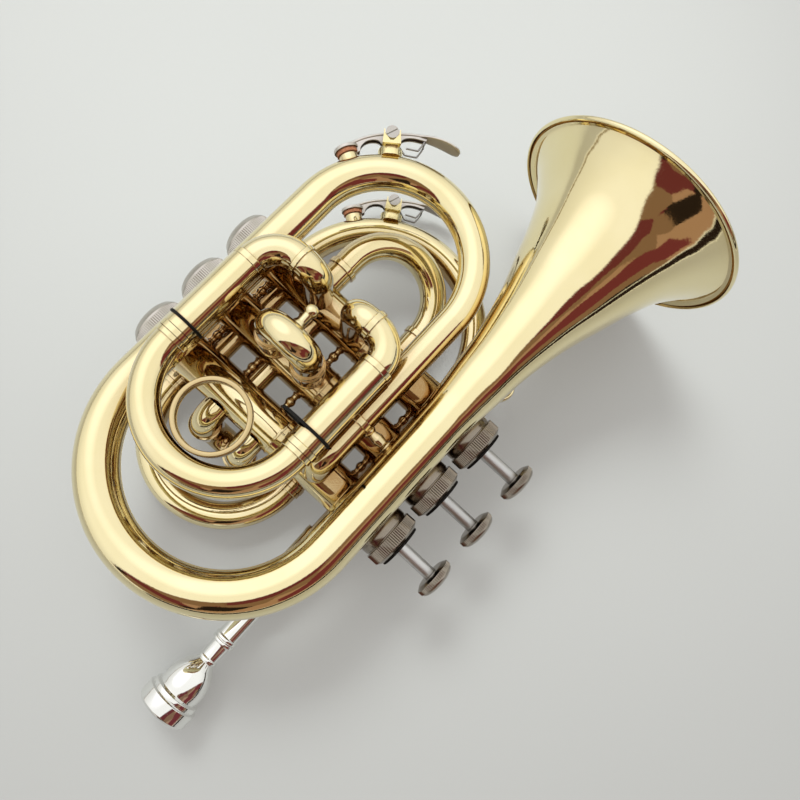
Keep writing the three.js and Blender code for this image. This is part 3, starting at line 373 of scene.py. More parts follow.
def arc(centre, radius, start, end, steps=ROUND.arc):
    turns = [math.radians(mix(start, end, k / steps)) for k in range(steps + 1)]
    return [(centre[0] + radius * math.cos(t), centre[1] + radius * math.sin(t)) for t in turns]


# ---------------------------------------------------------------- nodes

def feed(tree, made, *first, **named):
    """Joins a node's inputs to other sockets or sets them; in a name an underline stands for a space"""
    pairs = list(zip(made.inputs, first))
    pairs += [(made.inputs[label.replace("_", " ")], value) for label, value in named.items()]
    for socket, value in pairs:
        if isinstance(value, bpy.types.NodeSocket):
            tree.links.new(value, socket)
        else:
            socket.default_value = value
    return made


def node(tree, kind, settings=None, *first, **named):
    """A new node with its settings and inputs"""
    made = tree.nodes.new(kind)
    for key, value in (settings or {}).items():
        setattr(made, key, value)
    return feed(tree, made, *first, **named)


# ---------------------------------------------------------------- finishes

# painted light: the paper glows faintly of itself, which lightens the shadow under the trumpet
PAPER_GLOW = (0.20, 0.198, 0.188)
# painted shade in recesses: how far it looks for nearby parts, how finely, and over what openness it fades in
PAINTED_SHADE_REACH, PAINTED_SHADE_SAMPLES = 0.03, 6
PAINTED_SHADE_RANGE = (0.34, 0.90)
NOISE_RANGE = (0.3, 0.7)
CLOUD_DETAIL, GRAIN_DETAIL, WAVE_DETAIL = 3, 4, 1
COAT_ROUGHNESS, LEAST_ROUGHNESS = 0.04, 0.01


def finish(name, colour, deep, roughness, metallic=1.0, patch=40.0, grain=900.0, grain_depth=0.00001,
           wave_depth=0.0, coat=0.0, spread=0.04, stretch=(1, 1, 1), painted_shade=None, specular=0.5):
    """A surface whose colour, gloss and relief vary a little from place to place, with painted shade in its
    recesses where a colour for it is given
    """
    material = bpy.data.materials.new(name)
    material.use_nodes = True
    tree = material.node_tree
    where = node(tree, "ShaderNodeTexCoord").outputs["Object"]
    scaled = node(tree, "ShaderNodeMapping", Vector=where, Scale=stretch).outputs["Vector"]

    def noise(scale, detail):
        return node(tree, "ShaderNodeTexNoise", Vector=scaled, Scale=scale, Detail=detail).outputs["Fac"]

    cloudy, fine = noise(patch, CLOUD_DETAIL), noise(grain, GRAIN_DETAIL)
    tone = node(tree, "ShaderNodeValToRGB", Fac=cloudy)
    for stop, place, shade in zip(tone.color_ramp.elements, NOISE_RANGE, (deep, colour)):
        stop.position, stop.color = place, (*shade, 1)
    surface = tone.outputs["Color"]
    if painted_shade:
        # painted shade: the colour darkens toward the given one where nearby parts hem the surface in, as
        # shade falls in recesses
        shelter = node(tree, "ShaderNodeAmbientOcclusion", {"samples": PAINTED_SHADE_SAMPLES}, Distance=PAINTED_SHADE_REACH)
        openness = node(tree, "ShaderNodeMapRange", {"interpolation_type": "SMOOTHSTEP"},
                        shelter.outputs["AO"], *PAINTED_SHADE_RANGE)
        surface = node(tree, "ShaderNodeMixRGB", None, openness.outputs["Result"], (*painted_shade, 1),
                       surface).outputs["Color"]
    glossiest = max(roughness - spread, LEAST_ROUGHNESS)
    gloss = node(tree, "ShaderNodeMapRange", None, fine, *NOISE_RANGE, glossiest, roughness + spread)
    relief = node(tree, "ShaderNodeBump", Height=fine, Distance=grain_depth)
    if wave_depth:
        waves = node(tree, "ShaderNodeBump", Height=noise(patch * 2, WAVE_DETAIL), Distance=wave_depth)
        feed(tree, relief, Normal=waves.outputs["Normal"])
    feed(tree, tree.nodes["Principled BSDF"], Base_Color=surface, Metallic=metallic, Coat_Weight=coat,
         Coat_Roughness=COAT_ROUGHNESS, Specular_IOR_Level=specular, Roughness=gloss.outputs["Result"],
         Normal=relief.outputs["Normal"])
    return material


# the recess colour given to a metal below is painted shade, darkening it where parts crowd together
BRASS = finish("lacquered_brass", (0.86, 0.755, 0.46), (0.81, 0.70, 0.39), 0.06, coat=0.4,
               wave_depth=0.00004, spread=0.02, painted_shade=(0.34, 0.19, 0.062))
RING_BRASS = finish("ring_brass", (0.62, 0.49, 0.26), (0.54, 0.41, 0.20), 0.14, coat=0.2, spread=0.03,
                    painted_shade=(0.20, 0.12, 0.04))
BELL_BRASS = finish("bell_brass", (0.87, 0.77, 0.47), (0.83, 0.725, 0.41), 0.055, coat=0.4,
                    wave_depth=0.00004, spread=0.02, painted_shade=(0.60, 0.43, 0.20))
FITTING_BRASS = finish("fitting_brass", (0.86, 0.75, 0.41), (0.80, 0.68, 0.34), 0.28, coat=0.1, spread=0.03)
NICKEL = finish("nickel_plate", (0.355, 0.315, 0.265), (0.28, 0.25, 0.21), 0.17, patch=60, grain=700,
                grain_depth=0.000004, spread=0.03, painted_shade=(0.22, 0.18, 0.135))
CAP_NICKEL = finish("bottom_cap_nickel", (0.56, 0.53, 0.47), (0.47, 0.44, 0.39), 0.22, patch=60, grain=700,
                    grain_depth=0.000004, spread=0.03)
SATIN = finish("satin_stem", (0.60, 0.60, 0.59), (0.50, 0.50, 0.49), 0.36, grain=2400, grain_depth=0.000006,
               spread=0.05, stretch=(1, 0.06, 1))
SILVER = finish("silver_plate", (0.88, 0.885, 0.86), (0.80, 0.805, 0.78), 0.07, wave_depth=0.00003,
                spread=0.03)
KEY_SILVER = finish("key_plate", (0.66, 0.63, 0.575), (0.58, 0.55, 0.50), 0.33, grain=1500,
                    grain_depth=0.000006, spread=0.05, painted_shade=(0.30, 0.26, 0.22))
SCREW = finish("screw_steel", (0.50, 0.48, 0.43), (0.42, 0.40, 0.36), 0.22, grain=1500, grain_depth=0.000006,
               spread=0.05)
STEEL = finish("spring_steel", (0.34, 0.33, 0.32), (0.26, 0.25, 0.24), 0.3, grain=2500)
FELT = finish("black_felt", (0.018, 0.016, 0.014), (0.006, 0.005, 0.004), 0.95, metallic=0.0, patch=600,
              grain=3800, grain_depth=0.0002, specular=0.1)
RUBBER = finish("black_rubber", (0.010, 0.009, 0.008), (0.005, 0.005, 0.004), 0.6, metallic=0.0, patch=300,
                grain=2600, grain_depth=0.00004, specular=0.15)
CORK = finish("key_cork", (0.36, 0.155, 0.08), (0.24, 0.095, 0.048), 0.8, metallic=0.0, patch=900,
              grain=2200, grain_depth=0.0001, specular=0.2)
PAPER = finish("pale_paper", (0.283, 0.293, 0.287), (0.276, 0.286, 0.280), 0.75, metallic=0.0, patch=3,
               grain=500, grain_depth=0.00002)


def dress(name, work, material, body="trumpet"):
    """A shell or a mesh in millimetres becomes the finished piece for a node, with its metal and its body"""
    mesh = work.mesh(name) if isinstance(work, Shell) else work
    mesh.name = f"{name}_finished"
    mesh.transform(TO_FRAME)
    mesh.materials.clear()
    mesh.materials.append(material)
    for face in mesh.polygons:
        face.use_smooth = True
    mesh.set_sharp_from_angle(angle=CREASE)
    piece = bpy.data.objects.new(mesh.name, mesh)
    bpy.context.scene.collection.objects.link(piece)
    if body:
        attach(piece, body)
    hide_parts(name)
    return piece


# ---------------------------------------------------------------- node trees for what repeats

def new_tree(name, **inputs):
    """An empty tree with named inputs and their first values"""
    tree = bpy.data.node_groups.new(name, "GeometryNodeTree")
    kinds = {int: "Int", float: "Float", Vector: "Vector"}
    for label, kind, value in (("Geometry", "Geometry", None),
                               *((label, kinds[type(value)], value) for label, value in inputs.items()),
                               ("Metal", "Material", None)):
        socket = tree.interface.new_socket(label, in_out="INPUT", socket_type=f"NodeSocket{kind}")
        if value is not None:
            socket.default_value = value
    tree.interface.new_socket("Geometry", in_out="OUTPUT", socket_type="NodeSocketGeometry")
    return tree, node(tree, "NodeGroupInput").outputs


def close_tree(tree, source, *parts):
    """Joins the parts, makes them real and gives them their metal"""
    together = node(tree, "GeometryNodeJoinGeometry")
    for part in parts:
        feed(tree, together, Geometry=part)
    real = node(tree, "GeometryNodeRealizeInstances", Geometry=together.outputs["Geometry"])
    metal = node(tree, "GeometryNodeSetMaterial", Geometry=real.outputs["Geometry"], Material=source["Metal"])
    node(tree, "NodeGroupOutput", Geometry=metal.outputs["Geometry"])
    return tree


def knurl_tree():
    """Straight ribs rolled into a ring round the piece"""
    tree, source = new_tree("knurl", Count=TOP_CAP.ribs, Radius=TOP_CAP.radius, Rib=RIBS.size,
                            Height=TOP_CAP.ring, Start=0.0)
    ring = node(tree, "GeometryNodeMeshCircle", Vertices=source["Count"], Radius=source["Radius"])
    rib = node(tree, "GeometryNodeMeshCylinder", Vertices=RIBS.corners, Radius=source["Rib"],
               Depth=source["Height"])
    place = node(tree, "GeometryNodeInputPosition").outputs["Position"]
    outward = node(tree, "FunctionNodeAlignRotationToVector", {"axis": "X"}, Vector=place)
    ribs = node(tree, "GeometryNodeInstanceOnPoints", Points=ring.outputs["Mesh"],
                Instance=rib.outputs["Mesh"], Rotation=outward.outputs["Rotation"])
    lift = node(tree, "ShaderNodeCombineXYZ", Z=source["Start"])
    raised = node(tree, "GeometryNodeTransform", Geometry=ribs.outputs["Instances"],
                  Translation=lift.outputs["Vector"])
    return close_tree(tree, source, source["Geometry"], raised.outputs["Geometry"])


def wired(tree, source, line):
    """Round wire laid along a line"""
    section = node(tree, "GeometryNodeCurvePrimitiveCircle", Resolution=ROUND.wire, Radius=source["Wire"])
    wire = node(tree, "GeometryNodeCurveToMesh", Curve=line, Profile_Curve=section.outputs["Curve"],
                Fill_Caps=True)
    return close_tree(tree, source, wire.outputs["Mesh"])


def coil_tree():
    """A coil of round wire"""
    tree, source = new_tree("coil", Radius=VALVE_SPRING.radius, Turns=VALVE_SPRING.turns, Height=STROKE,
                            Wire=VALVE_SPRING.wire, Steps=VALVE_SPRING.steps)
    spiral = node(tree, "GeometryNodeCurveSpiral", Resolution=source["Steps"], Rotations=source["Turns"],
                  Height=source["Height"], Start_Radius=source["Radius"], End_Radius=source["Radius"])
    return wired(tree, source, spiral.outputs["Curve"])


def wire_tree():
    """A wire bent along the piece's own line of points"""
    tree, source = new_tree("bent_wire", Wire=KEY_SPRING.wire, Points=KEY_SPRING.points)
    line = node(tree, "GeometryNodeMeshToCurve", Mesh=source["Geometry"])
    even = node(tree, "GeometryNodeResampleCurve", Curve=line.outputs["Curve"], Count=source["Points"])
    return wired(tree, source, even.outputs["Curve"])


def row_tree():
    """Repeats the piece along a line, as the posts between the valves are"""
    tree, source = new_tree("row", Count=len(VALVES) - 1, Step=X * PITCH)
    line = node(tree, "GeometryNodeMeshLine", Count=source["Count"], Offset=source["Step"])
    row = node(tree, "GeometryNodeInstanceOnPoints", Points=line.outputs["Mesh"], Instance=source["Geometry"])
    return close_tree(tree, source, row.outputs["Instances"])


KNURL, COIL, BENT_WIRE, ROW = knurl_tree(), coil_tree(), wire_tree(), row_tree()


def grown(tree, mesh, material, place=UPRIGHT, **values):
    """The plain mesh that a tree makes from a mesh, put in its place"""
    holder = bpy.data.objects.new("holder", mesh)
    bpy.context.scene.collection.objects.link(holder)
    modifier = holder.modifiers.new(tree.name, "NODES")
    modifier.node_group = tree
    sockets = {item.name: item.identifier for item in tree.interface.items_tree if item.in_out == "INPUT"}
    for label, value in {**values, "Metal": material}.items():
        modifier[sockets[label]] = value
    made = bpy.data.meshes.new_from_object(holder.evaluated_get(bpy.context.evaluated_depsgraph_get()))
    bpy.data.objects.remove(holder)
    made.transform(place)
    return made


def as_shell(mesh):
    shell = Shell()
    shell.points = [v.co.copy() for v in mesh.vertices]
    shell.faces = [tuple(p.vertices) for p in mesh.polygons]
    return shell


def facing(origin, axis):
    """The place of a piece made along z, stood at a point along an axis"""
    return Matrix.Translation(origin) @ axis.to_track_quat("Z", "Y").to_matrix().to_4x4()


# ---------------------------------------------------------------- camera, paper and light

CAMERA = Sizes(turn=math.radians(47.5) - 0.004, lean=0.18, tip=-0.029, aside=17.509, above=-41.665,
               away=317.916, focal=743.443, picture=800, sensor=36, near=0.01, far=20)
PAPER_SIZE = 6.0
# A softbox high up beyond the bell and the bottom caps, in the frame's metres
SOFTBOX = Sizes(place=(0.36, 0.50, 0.55), aim=(0.15, 0.14, 0.03), size=(0.6, 0.5), power=1.25, spread=40,
                colour=(0.97, 1.0, 0.98))
# What the polished tubes reflect: where each part of the room starts, how softly, and its colour
WALLS = Sizes(low=(0.86, 0.85, 0.81), high=(1.10, 1.09, 1.06), soft=0.7)
WINDOW = Sizes(toward=(0.2, 0.62, 0.85), start=0.78, soft=0.18, colour=(1.42, 1.40, 1.44))
DIM_SIDE = Sizes(toward=(-0.62, -0.78, 0), start=0.40, soft=0.05, foot=0.13, head=0.90, edge=0.04,
                 patches=3.2)
DIM_SHADES = ((0, (0.24, 0.14, 0.085)), (0.34, (0.022, 0.014, 0.010)), (0.5, (0.15, 0.034, 0.036)),
              (0.7, (0.17, 0.036, 0.04)), (0.84, (0.40, 0.24, 0.16)))
SKIRTING = Sizes(head=0.03, edge=0.012, colour=(0.34, 0.28, 0.19))
FLOOR_LINE = Sizes(toward=(-0.3, -0.95, 0), start=0.3, soft=0.1, head=0.12, edge=0.02,
                   colour=(0.02, 0.012, 0.009))


def set_camera():
    """The photograph's camera: turned, tilted and placed over the trumpet"""
    c = CAMERA
    tilt = Matrix.Rotation(c.lean, 3, "Y") @ Matrix.Rotation(c.tip, 3, "X")
    back = (Matrix.Rotation(c.turn, 3, "Z") @ tilt).transposed()
    data = bpy.data.cameras.new("camera")
    data.sensor_width, data.lens = c.sensor, c.focal / c.picture * c.sensor
    data.clip_start, data.clip_end = c.near, c.far
    camera = bpy.data.objects.new("camera", data)
    place = TO_FRAME @ (back @ at(-c.aside, -c.above, c.away))
    camera.matrix_world = Matrix.Translation(place) @ back.to_4x4()
    bpy.context.scene.collection.objects.link(camera)
    bpy.context.scene.camera = camera


def lay_paper():
    """The pale sheet that the trumpet lies on, with a faint glow of its own as painted light that lightens
    the shadow under the trumpet
    """
    mesh = bpy.data.meshes.new("paper")
    corners = [at(x * PAPER_SIZE, y * PAPER_SIZE, 0) for x, y in ((-1, -1), (1, -1), (1, 1), (-1, 1))]
    mesh.from_pydata(corners, [], [range(len(corners))])
    paper = bpy.data.objects.new("paper", mesh)
    bpy.context.scene.collection.objects.link(paper)
    # painted light: a faint glow in the paper
    feed(PAPER.node_tree, PAPER.node_tree.nodes["Principled BSDF"], Emission_Color=(*PAPER_GLOW, 1),
         Emission_Strength=1)
    mesh.materials.append(PAPER)


def hang_softbox():
    """One soft light over the far side, which gives the trumpet its shadow"""
    s = SOFTBOX
    data = bpy.data.lights.new("softbox", "AREA")
    data.shape, (data.size, data.size_y), data.spread = "RECTANGLE", s.size, math.radians(s.spread)
    data.energy, data.color = s.power, s.colour
    light = bpy.data.objects.new("softbox", data)
    place = Vector(s.place)
    light.matrix_world = facing(place, (place - Vector(s.aim)).normalized())
    light.visible_glossy = False
    bpy.context.scene.collection.objects.link(light)


def light_room():
    """White overhead, and the dim warm side of a room that the polished tubes pick up"""
    world = bpy.data.worlds.new("room")
    bpy.context.scene.world = world
    world.use_nodes = True
    tree = world.node_tree
    tree.nodes.clear()
    way = node(tree, "ShaderNodeTexCoord").outputs["Generated"]
    height = node(tree, "ShaderNodeSeparateXYZ", Vector=way).outputs["Z"]

    def above(value, start, soft, values=(0, 1)):
        """From 0 to 1 over a soft edge"""
        ease = node(tree, "ShaderNodeMapRange", {"interpolation_type": "SMOOTHSTEP"}, value, start,
                    start + soft, *values)
        return ease.outputs["Result"]

    def below(value, end, soft):
        return above(value, end, soft, (1, 0))

    def toward(part):
        """1 where a part of the room is, seen from the trumpet"""
        straight = Vector(part.toward).normalized()
        share = node(tree, "ShaderNodeVectorMath", {"operation": "DOT_PRODUCT"}, way, straight)
        return above(share.outputs["Value"], part.start, part.soft)

    def both(a, b):
        return node(tree, "ShaderNodeMath", {"operation": "MULTIPLY"}, a, b).outputs["Value"]

    def over(share, base, colour):
        """A colour or a pattern laid over another"""
        base, colour = ((*c, 1) if isinstance(c, tuple) else c for c in (base, colour))
        return node(tree, "ShaderNodeMixRGB", None, share, base, colour).outputs["Color"]

    room = over(above(height, 0, WALLS.soft), WALLS.low, WALLS.high)
    room = over(toward(WINDOW), room, WINDOW.colour)
    # dark red cloth, tan wood and black between them
    patches = node(tree, "ShaderNodeTexVoronoi", Vector=way, Scale=DIM_SIDE.patches).outputs["Color"]
    one_of_them = node(tree, "ShaderNodeSeparateXYZ", Vector=patches).outputs["X"]
    shades = node(tree, "ShaderNodeValToRGB", None, one_of_them)
    ramp = shades.color_ramp
    ramp.interpolation = "CONSTANT"
    ramp.elements.remove(ramp.elements[-1])
    for place, shade in DIM_SHADES:
        stop = ramp.elements.new(place) if place else ramp.elements[0]
        stop.color = (*shade, 1)
    side = both(above(height, DIM_SIDE.foot, DIM_SIDE.edge), below(height, DIM_SIDE.head, DIM_SIDE.edge))
    room = over(both(toward(DIM_SIDE), side), room, shades.outputs["Color"])
    low_down = [both(above(height, 0, part.edge), below(height, part.head, part.edge))
                for part in (SKIRTING, FLOOR_LINE)]
    room = over(low_down[0], room, SKIRTING.colour)
    room = over(both(low_down[1], toward(FLOOR_LINE)), room, FLOOR_LINE.colour)
    sky = node(tree, "ShaderNodeBackground", Color=room, Strength=1)
    node(tree, "ShaderNodeOutputWorld", Surface=sky.outputs["Background"])


set_camera()
lay_paper()
light_room()
hang_softbox()


# ---------------------------------------------------------------- bell and its tube

def bell_flare():
    """Spun flare with its rim rolled over a wire"""
    length = BELL.rim_x - BELL.bow_x
    rise = BELL.rim_radius - BELL.wire - BELL.throat
    curve = smooth_curve([(a * length, BELL.throat + o * rise) for a, o in FLARE_SHARES], FLARE_STEPS)
    slopes = [(b - a).normalized() for a, b in zip([curve[0], *curve], [*curve[1:], curve[-1]])]
    outside = [tuple(p) for p in curve[:-1]]
    inside = [(p.x + BELL.wall * t.y, p.y - BELL.wall * t.x) for p, t in zip(curve[1:-1], slopes[1:-1])
              if p.x + BELL.wall < length - BELL.wire]
    bead = arc((length - BELL.wire, BELL.rim_radius - BELL.wire), BELL.wire, *BEAD_TURNS, ROUND.bead)
    profile = [*outside, *bead, *reversed(inside), (0, BELL.throat - BELL.wall)]
    return turned(profile, at(BELL.bow_x, BELL.y, BELL.z), X, ROUND.flare, 0)


def bell_tube():
    """Round the rear bow, along the bottom, up the front bow and back to the first valve"""
    t = BELL_TUBE

    def walled(radius):
        return radius, radius - t.wall

    rear = Pipe(at(BELL.bow_x, BELL.y, BELL.z), -X, Z, *walled(BELL.throat))
    rear.bend((BOTTOM_RUN_Y - BELL.y) / 2, math.pi, Y, *walled(t.at_bow))
    dress("bell_rear_bow", rear.shell(), BELL_BRASS)
    run = Pipe(at(BELL.bow_x, BOTTOM_RUN_Y, BELL.z), X, Z, *walled(t.at_bow))
    run.ahead(t.front_x - BELL.bow_x, *walled(t.at_front))
    dress("bell_bottom_run", run.shell(), BELL_BRASS)
    front = Pipe(at(t.front_x, BOTTOM_RUN_Y, BELL.z), X, Z, *walled(t.at_front))
    front.bend(FRONT_BEND, math.pi / 2, -Y, *walled(t.middle))
    front.bend(FRONT_BEND, math.pi / 2, -X, *walled(t.at_return))
    dress("bell_front_bow", front.shell().join(key_seat(front_key())), BELL_BRASS)
    r = RETURN_RUN
    to_collar = t.front_x - r.collar_x
    onward = t.front_x - (FAR + r.elbow) - to_collar - r.collar
    back = Pipe(at(t.front_x, RETURN_RUN_Y, BELL.z), -X, Z, *walled(t.at_return))
    back.ahead(to_collar, r.radius).collar(r.collar, SLIDE.sleeve).ahead(onward, r.radius, SLIDE.bore)
    back.bend(r.elbow, math.pi / 2, -Z).ahead(BELL.z - r.elbow - CASING_BORE)
    dress("bell_return_run", back.shell(), BRASS)


# ---------------------------------------------------------------- water keys

class KeySeat:
    """Where a water key sits on a bow: the bow's centre, its outside and the pivot's angle"""

    def __init__(self, centre, outer, angle):
        self.centre, self.outer, self.angle = centre, outer, math.radians(angle)
        self.up = self.direction(0)
        self.along = self.up.cross(Z)
        self.pivot = self.spot(0, KEY.pivot_height)

    def direction(self, along):
        turn = self.angle - along / (self.outer + KEY.pivot_height)
        return at(math.cos(turn), math.sin(turn), 0)

    def spot(self, along, height):
        return self.centre + self.direction(along) * (self.outer + height)

    def frame(self):
        place = Matrix((self.along, self.up, Z)).transposed().to_4x4()
        place.translation = self.spot(0, 0)
        return place


def front_key():
    outer = FRONT_BEND + mix(BELL_TUBE.middle, BELL_TUBE.at_front, FRONT_BOW_KEY / QUARTER)
    return KeySeat(at(BELL_TUBE.front_x, (BOTTOM_RUN_Y + RETURN_RUN_Y) / 2, BELL.z), outer, FRONT_BOW_KEY)


def leadpipe_key():
    radius = LEADPIPE_BEND.length / 2
    y = radius * math.sin(math.radians(LEADPIPE_BOW_KEY))
    z = (LEADPIPE_Z + BACK_RUN_Z) / 2 + y * LEADPIPE_BEND.z / LEADPIPE_BEND.y
    centre = at(LEADPIPE.bow_x, (LEADPIPE.y + BACK_RUN_Y) / 2, z)
    return KeySeat(centre, radius + SLIDE.bow, LEADPIPE_BOW_KEY)


def key_seat(seat):
    """The turned ring on the bow that the cork closes"""
    sunk = SLIDE.bow - SLIDE.bore + KEY.nipple_height
    return turned(hoop(-sunk, KEY.nipple_height, KEY.nipple_bore, KEY.nipple), seat.spot(CUP_ALONG, 0),
                  seat.direction(CUP_ALONG))


def key_lever(seat):
    """Arched arm, cup over the cork, barrel on the pivot and a leaf for the thumb"""
    path, up, widths, depths = [], [], [], []
    for k, p in enumerate(smooth_curve(LEVER_SWEEP, ARM.steps)):
        share = k / ARM.steps
        leaf = max(0.0, (share - LEAF.from_share) / (1 - LEAF.from_share))
        beyond = max(0.0, (leaf - LEAF.tip_share) / (1 - LEAF.tip_share))
        swell = math.sin(math.pi * mix(*LEAF.swell_shares, leaf)) if leaf else 0
        path.append(seat.spot(p.x, p.y))
        up.append(seat.direction(p.x))
        widths.append(mix(ARM.width, ARM.leaf_width, swell) * math.sqrt(max(LEAF.tip_least, 1 - beyond ** 2)))
        depths.append(mix(KEY.cup_roof, ARM.thickness, min(1, share / ARM.cup_share)))
    arm = swept(path, up, Z, widths, depths)
    inside, outside = KEY.cork + GAP, KEY.cup
    under = KEY.nipple_height + KEY.seal + KEY.cork_thickness + KEY.seal
    roof, base, crown = under + KEY.cup_roof, under - KEY.cup_lip, under + KEY.cup_roof + KEY.crown
    cup = turned(((under, 0), (under, inside), (base, inside), (base, outside), (roof, outside),
                  (crown, outside * KEY.crown_share), (crown, 0)),
                 seat.spot(CUP_ALONG, 0), seat.direction(CUP_ALONG))
    half = KEY.barrel_length / 2
    barrel = turned(hoop(-half, half, KEY.screw + GAP, KEY.barrel), seat.pivot, Z)
    return arm.join(cup, barrel, *key_cheeks(seat))


def key_cheeks(seat):
    """The cheeks under the arm, cut in an arch on either side of the pivot"""
    cheeks = []
    out = ARM.width * CHEEK.out_share
    for start, arch_start, arch_end, end, deep_start, deep_end in CHEEKS:
        top, bottom = [], []
        for k in range(CHEEK.steps + 1):
            along = mix(start, end, k / CHEEK.steps)
            share = min(max((along - arch_start) / (arch_end - arch_start), 0), 1)
            height = height_of_arm(along)
            arch = math.sqrt(max(0.0, 1 - (2 * share - 1) ** 2))
            top.append(seat.spot(along, height))
            depth = ARM.thickness + mix(deep_start, deep_end, share) * (1 - arch)
            bottom.append(seat.spot(along, height - depth))
        outline = (*top, *reversed(bottom))
        for inner, outer in ((-out, -out + CHEEK.thickness), (out - CHEEK.thickness, out)):
            cheeks.append(Shell().loft([[p + Z * z for p in outline] for z in (inner, outer)]))
    return cheeks


def height_of_arm(along):
    for (a, low), (b, high) in zip(LEVER_SWEEP, LEVER_SWEEP[1:]):
        if along <= b:
            return mix(low, high, (along - a) / (b - a))
    return LEVER_SWEEP[-1][1]


def key_saddle(seat):
    """Turned foot, a round-cornered post and two ears for the screw, the near one cupped round its head"""
    s, base = SADDLE, seat.frame()
    inner = KEY.barrel_length / 2 + GAP
    end, pivot = inner + KEY.ear, KEY.pivot_height
    foot = turned(hoop(-s.foot_depth, s.foot_depth * s.foot_top_share, 0, s.foot), seat.spot(0, 0), seat.up,
                  edge=s.foot_edge)
    width, top = s.foot * s.width_share, pivot - KEY.barrel - GAP
    rings = []
    for height, inset in zip((-s.foot_depth, top - s.shoulder, top), s.insets):
        ring = []
        for quarter, (side, near) in enumerate(((1, 1), (-1, 1), (-1, -1), (1, -1))):
            centre, start = (side * (width - s.corner), near * (end - s.corner)), quarter * QUARTER
            corner = arc(centre, s.corner - inset, start, start + QUARTER, ROUND.corner)
            ring.extend(base @ Vector((x, height, z)) for x, z in corner)
        rings.append(ring)
    ear, bottom = KEY.head - GAP / 2, s.foot_depth * s.ears_from_share
    shoulder = width * s.ear_share
    outline = [(-width, bottom), (width, bottom), (shoulder, pivot - ear),
               *arc((0, pivot), ear, 0, 2 * QUARTER), (-shoulder, pivot - ear)]
    horns, notch = pivot + s.horn, KEY.head + GAP
    right = [(width, bottom), (width * s.horn_share, horns), (notch, horns),
             (notch * s.notch_share, pivot - s.notch_drop), s.notch_foot]
    cupped = [*right, *((-x, y) for x, y in reversed(right))]
    return foot.join(Shell().loft(rings), plate(outline, -end, -inner, base),
                     plate(outline, inner, end, base),
                     plate(cupped, end - GAP, end + KEY.head_thickness, base))


def key_screw(seat):
    """Cheese-head screw with a slot, its head to the player's left"""
    end = KEY.barrel_length / 2 + GAP + KEY.ear
    head, top = end + KEY.seal, end + KEY.seal + KEY.head_thickness
    floor = top - KEY.slot
    screw = turned(((-end, 0), (-end, KEY.screw), (head, KEY.screw), (head, KEY.head), (floor, KEY.head),
                    (floor, 0)), seat.pivot, Z)
    edge = math.degrees(math.asin(KEY.slot / 2 / KEY.head))
    slant = Matrix.Translation(seat.pivot) @ Matrix.Rotation(math.radians(KEY.slot_turn), 4, "Z")
    for start, stop in ((edge, 2 * QUARTER - edge), (edge - 2 * QUARTER, -edge)):
        screw.join(plate(arc((0, 0), KEY.head, start, stop), floor, top, slant))
    return screw


def key_spring(seat):
    """Wire wound round the pivot, one end on the bow and a hairpin under the lever"""
    s, base = KEY_SPRING, seat.frame()
    coil, low = KEY.barrel + GAP + s.wire, -KEY.barrel_length / 2 + s.wire
    line = [(s.foot_at, SADDLE.foot_depth / 2, low)]
    for k in range(s.coil_steps + 1):
        turn = -math.pi / 2 - 2 * math.pi * k / s.per_turn
        line.append((coil * math.cos(turn), KEY.pivot_height + coil * math.sin(turn),
                     low + k / s.per_turn * (2 * s.wire + GAP / 2)))
    side = low + 4 * s.wire
    line += [(*spot, side) for spot in s.leg] + [(*spot, -side) for spot in reversed(s.leg)]
    mesh = bpy.data.meshes.new("spring_line")
    mesh.from_pydata([base @ Vector(p) for p in line], [(k, k + 1) for k in range(len(line) - 1)], [])
    return grown(BENT_WIRE, mesh, STEEL, Wire=s.wire, Points=s.points)


def water_keys():
    for number, seat, body in ((1, front_key(), "bell_water_key"), (2, leadpipe_key(), "leadpipe_water_key")):
        dress(f"water_key_saddle_{number}", key_saddle(seat), FITTING_BRASS)
        dress(f"water_key_lever_{number}", key_lever(seat), KEY_SILVER, body)
        low = KEY.nipple_height + KEY.seal
        cork = turned(hoop(low, low + KEY.cork_thickness, 0, KEY.cork), seat.spot(CUP_ALONG, 0),
                      seat.direction(CUP_ALONG))
        dress(f"water_key_cork_{number}", cork, CORK, body)
        dress(f"water_key_screw_{number}", key_screw(seat), SCREW)
        spring = dress(f"water_key_spring_{number}", key_spring(seat), STEEL, None)
        held = seat.spot(KEY_SPRING.leg[-1][0], KEY_SPRING.held_height)
        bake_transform(spring)


# ---------------------------------------------------------------- mouthpiece, leadpipe and tuning slide

def mouthpiece():
    """Rim, cup and shank turned from one bar and bored through"""
    cup = [tuple(p) for p in smooth_curve(CUP_OUTSIDE, CUP_STEPS)]
    profile = [*RIM_OUTSIDE, *cup, *SHANK_OUTSIDE, *MOUTHPIECE_INSIDE]
    return turned(profile, at(MOUTHPIECE.rim_x, LEADPIPE.y, LEADPIPE_Z), X)


def receiver():
    """The sleeve that takes the mouthpiece's shank"""
    r = RECEIVER
    length = r.end - r.start
    profile = ((0, r.bore), (0, r.mouth), (r.ring, r.mouth), (2 * r.ring, r.body),
               (length - 2 * r.ring, r.body), (length - r.ring, r.body + GAP), (length, r.body),
               (length, r.bore))
    return turned(profile, at(r.start, LEADPIPE.y, LEADPIPE_Z), X)


def to_sleeve(pipe, length):
    """From a plain tube into the sleeve that a slide's leg runs in"""
    return (pipe.step(SLIDE.ferrule).ahead(SLIDE.ferrule_length).step(SLIDE.sleeve, SLEEVE_BORE)
            .ahead(length - 2 * SLIDE.ferrule_length).step(SLIDE.ferrule).ahead(SLIDE.ferrule_length))


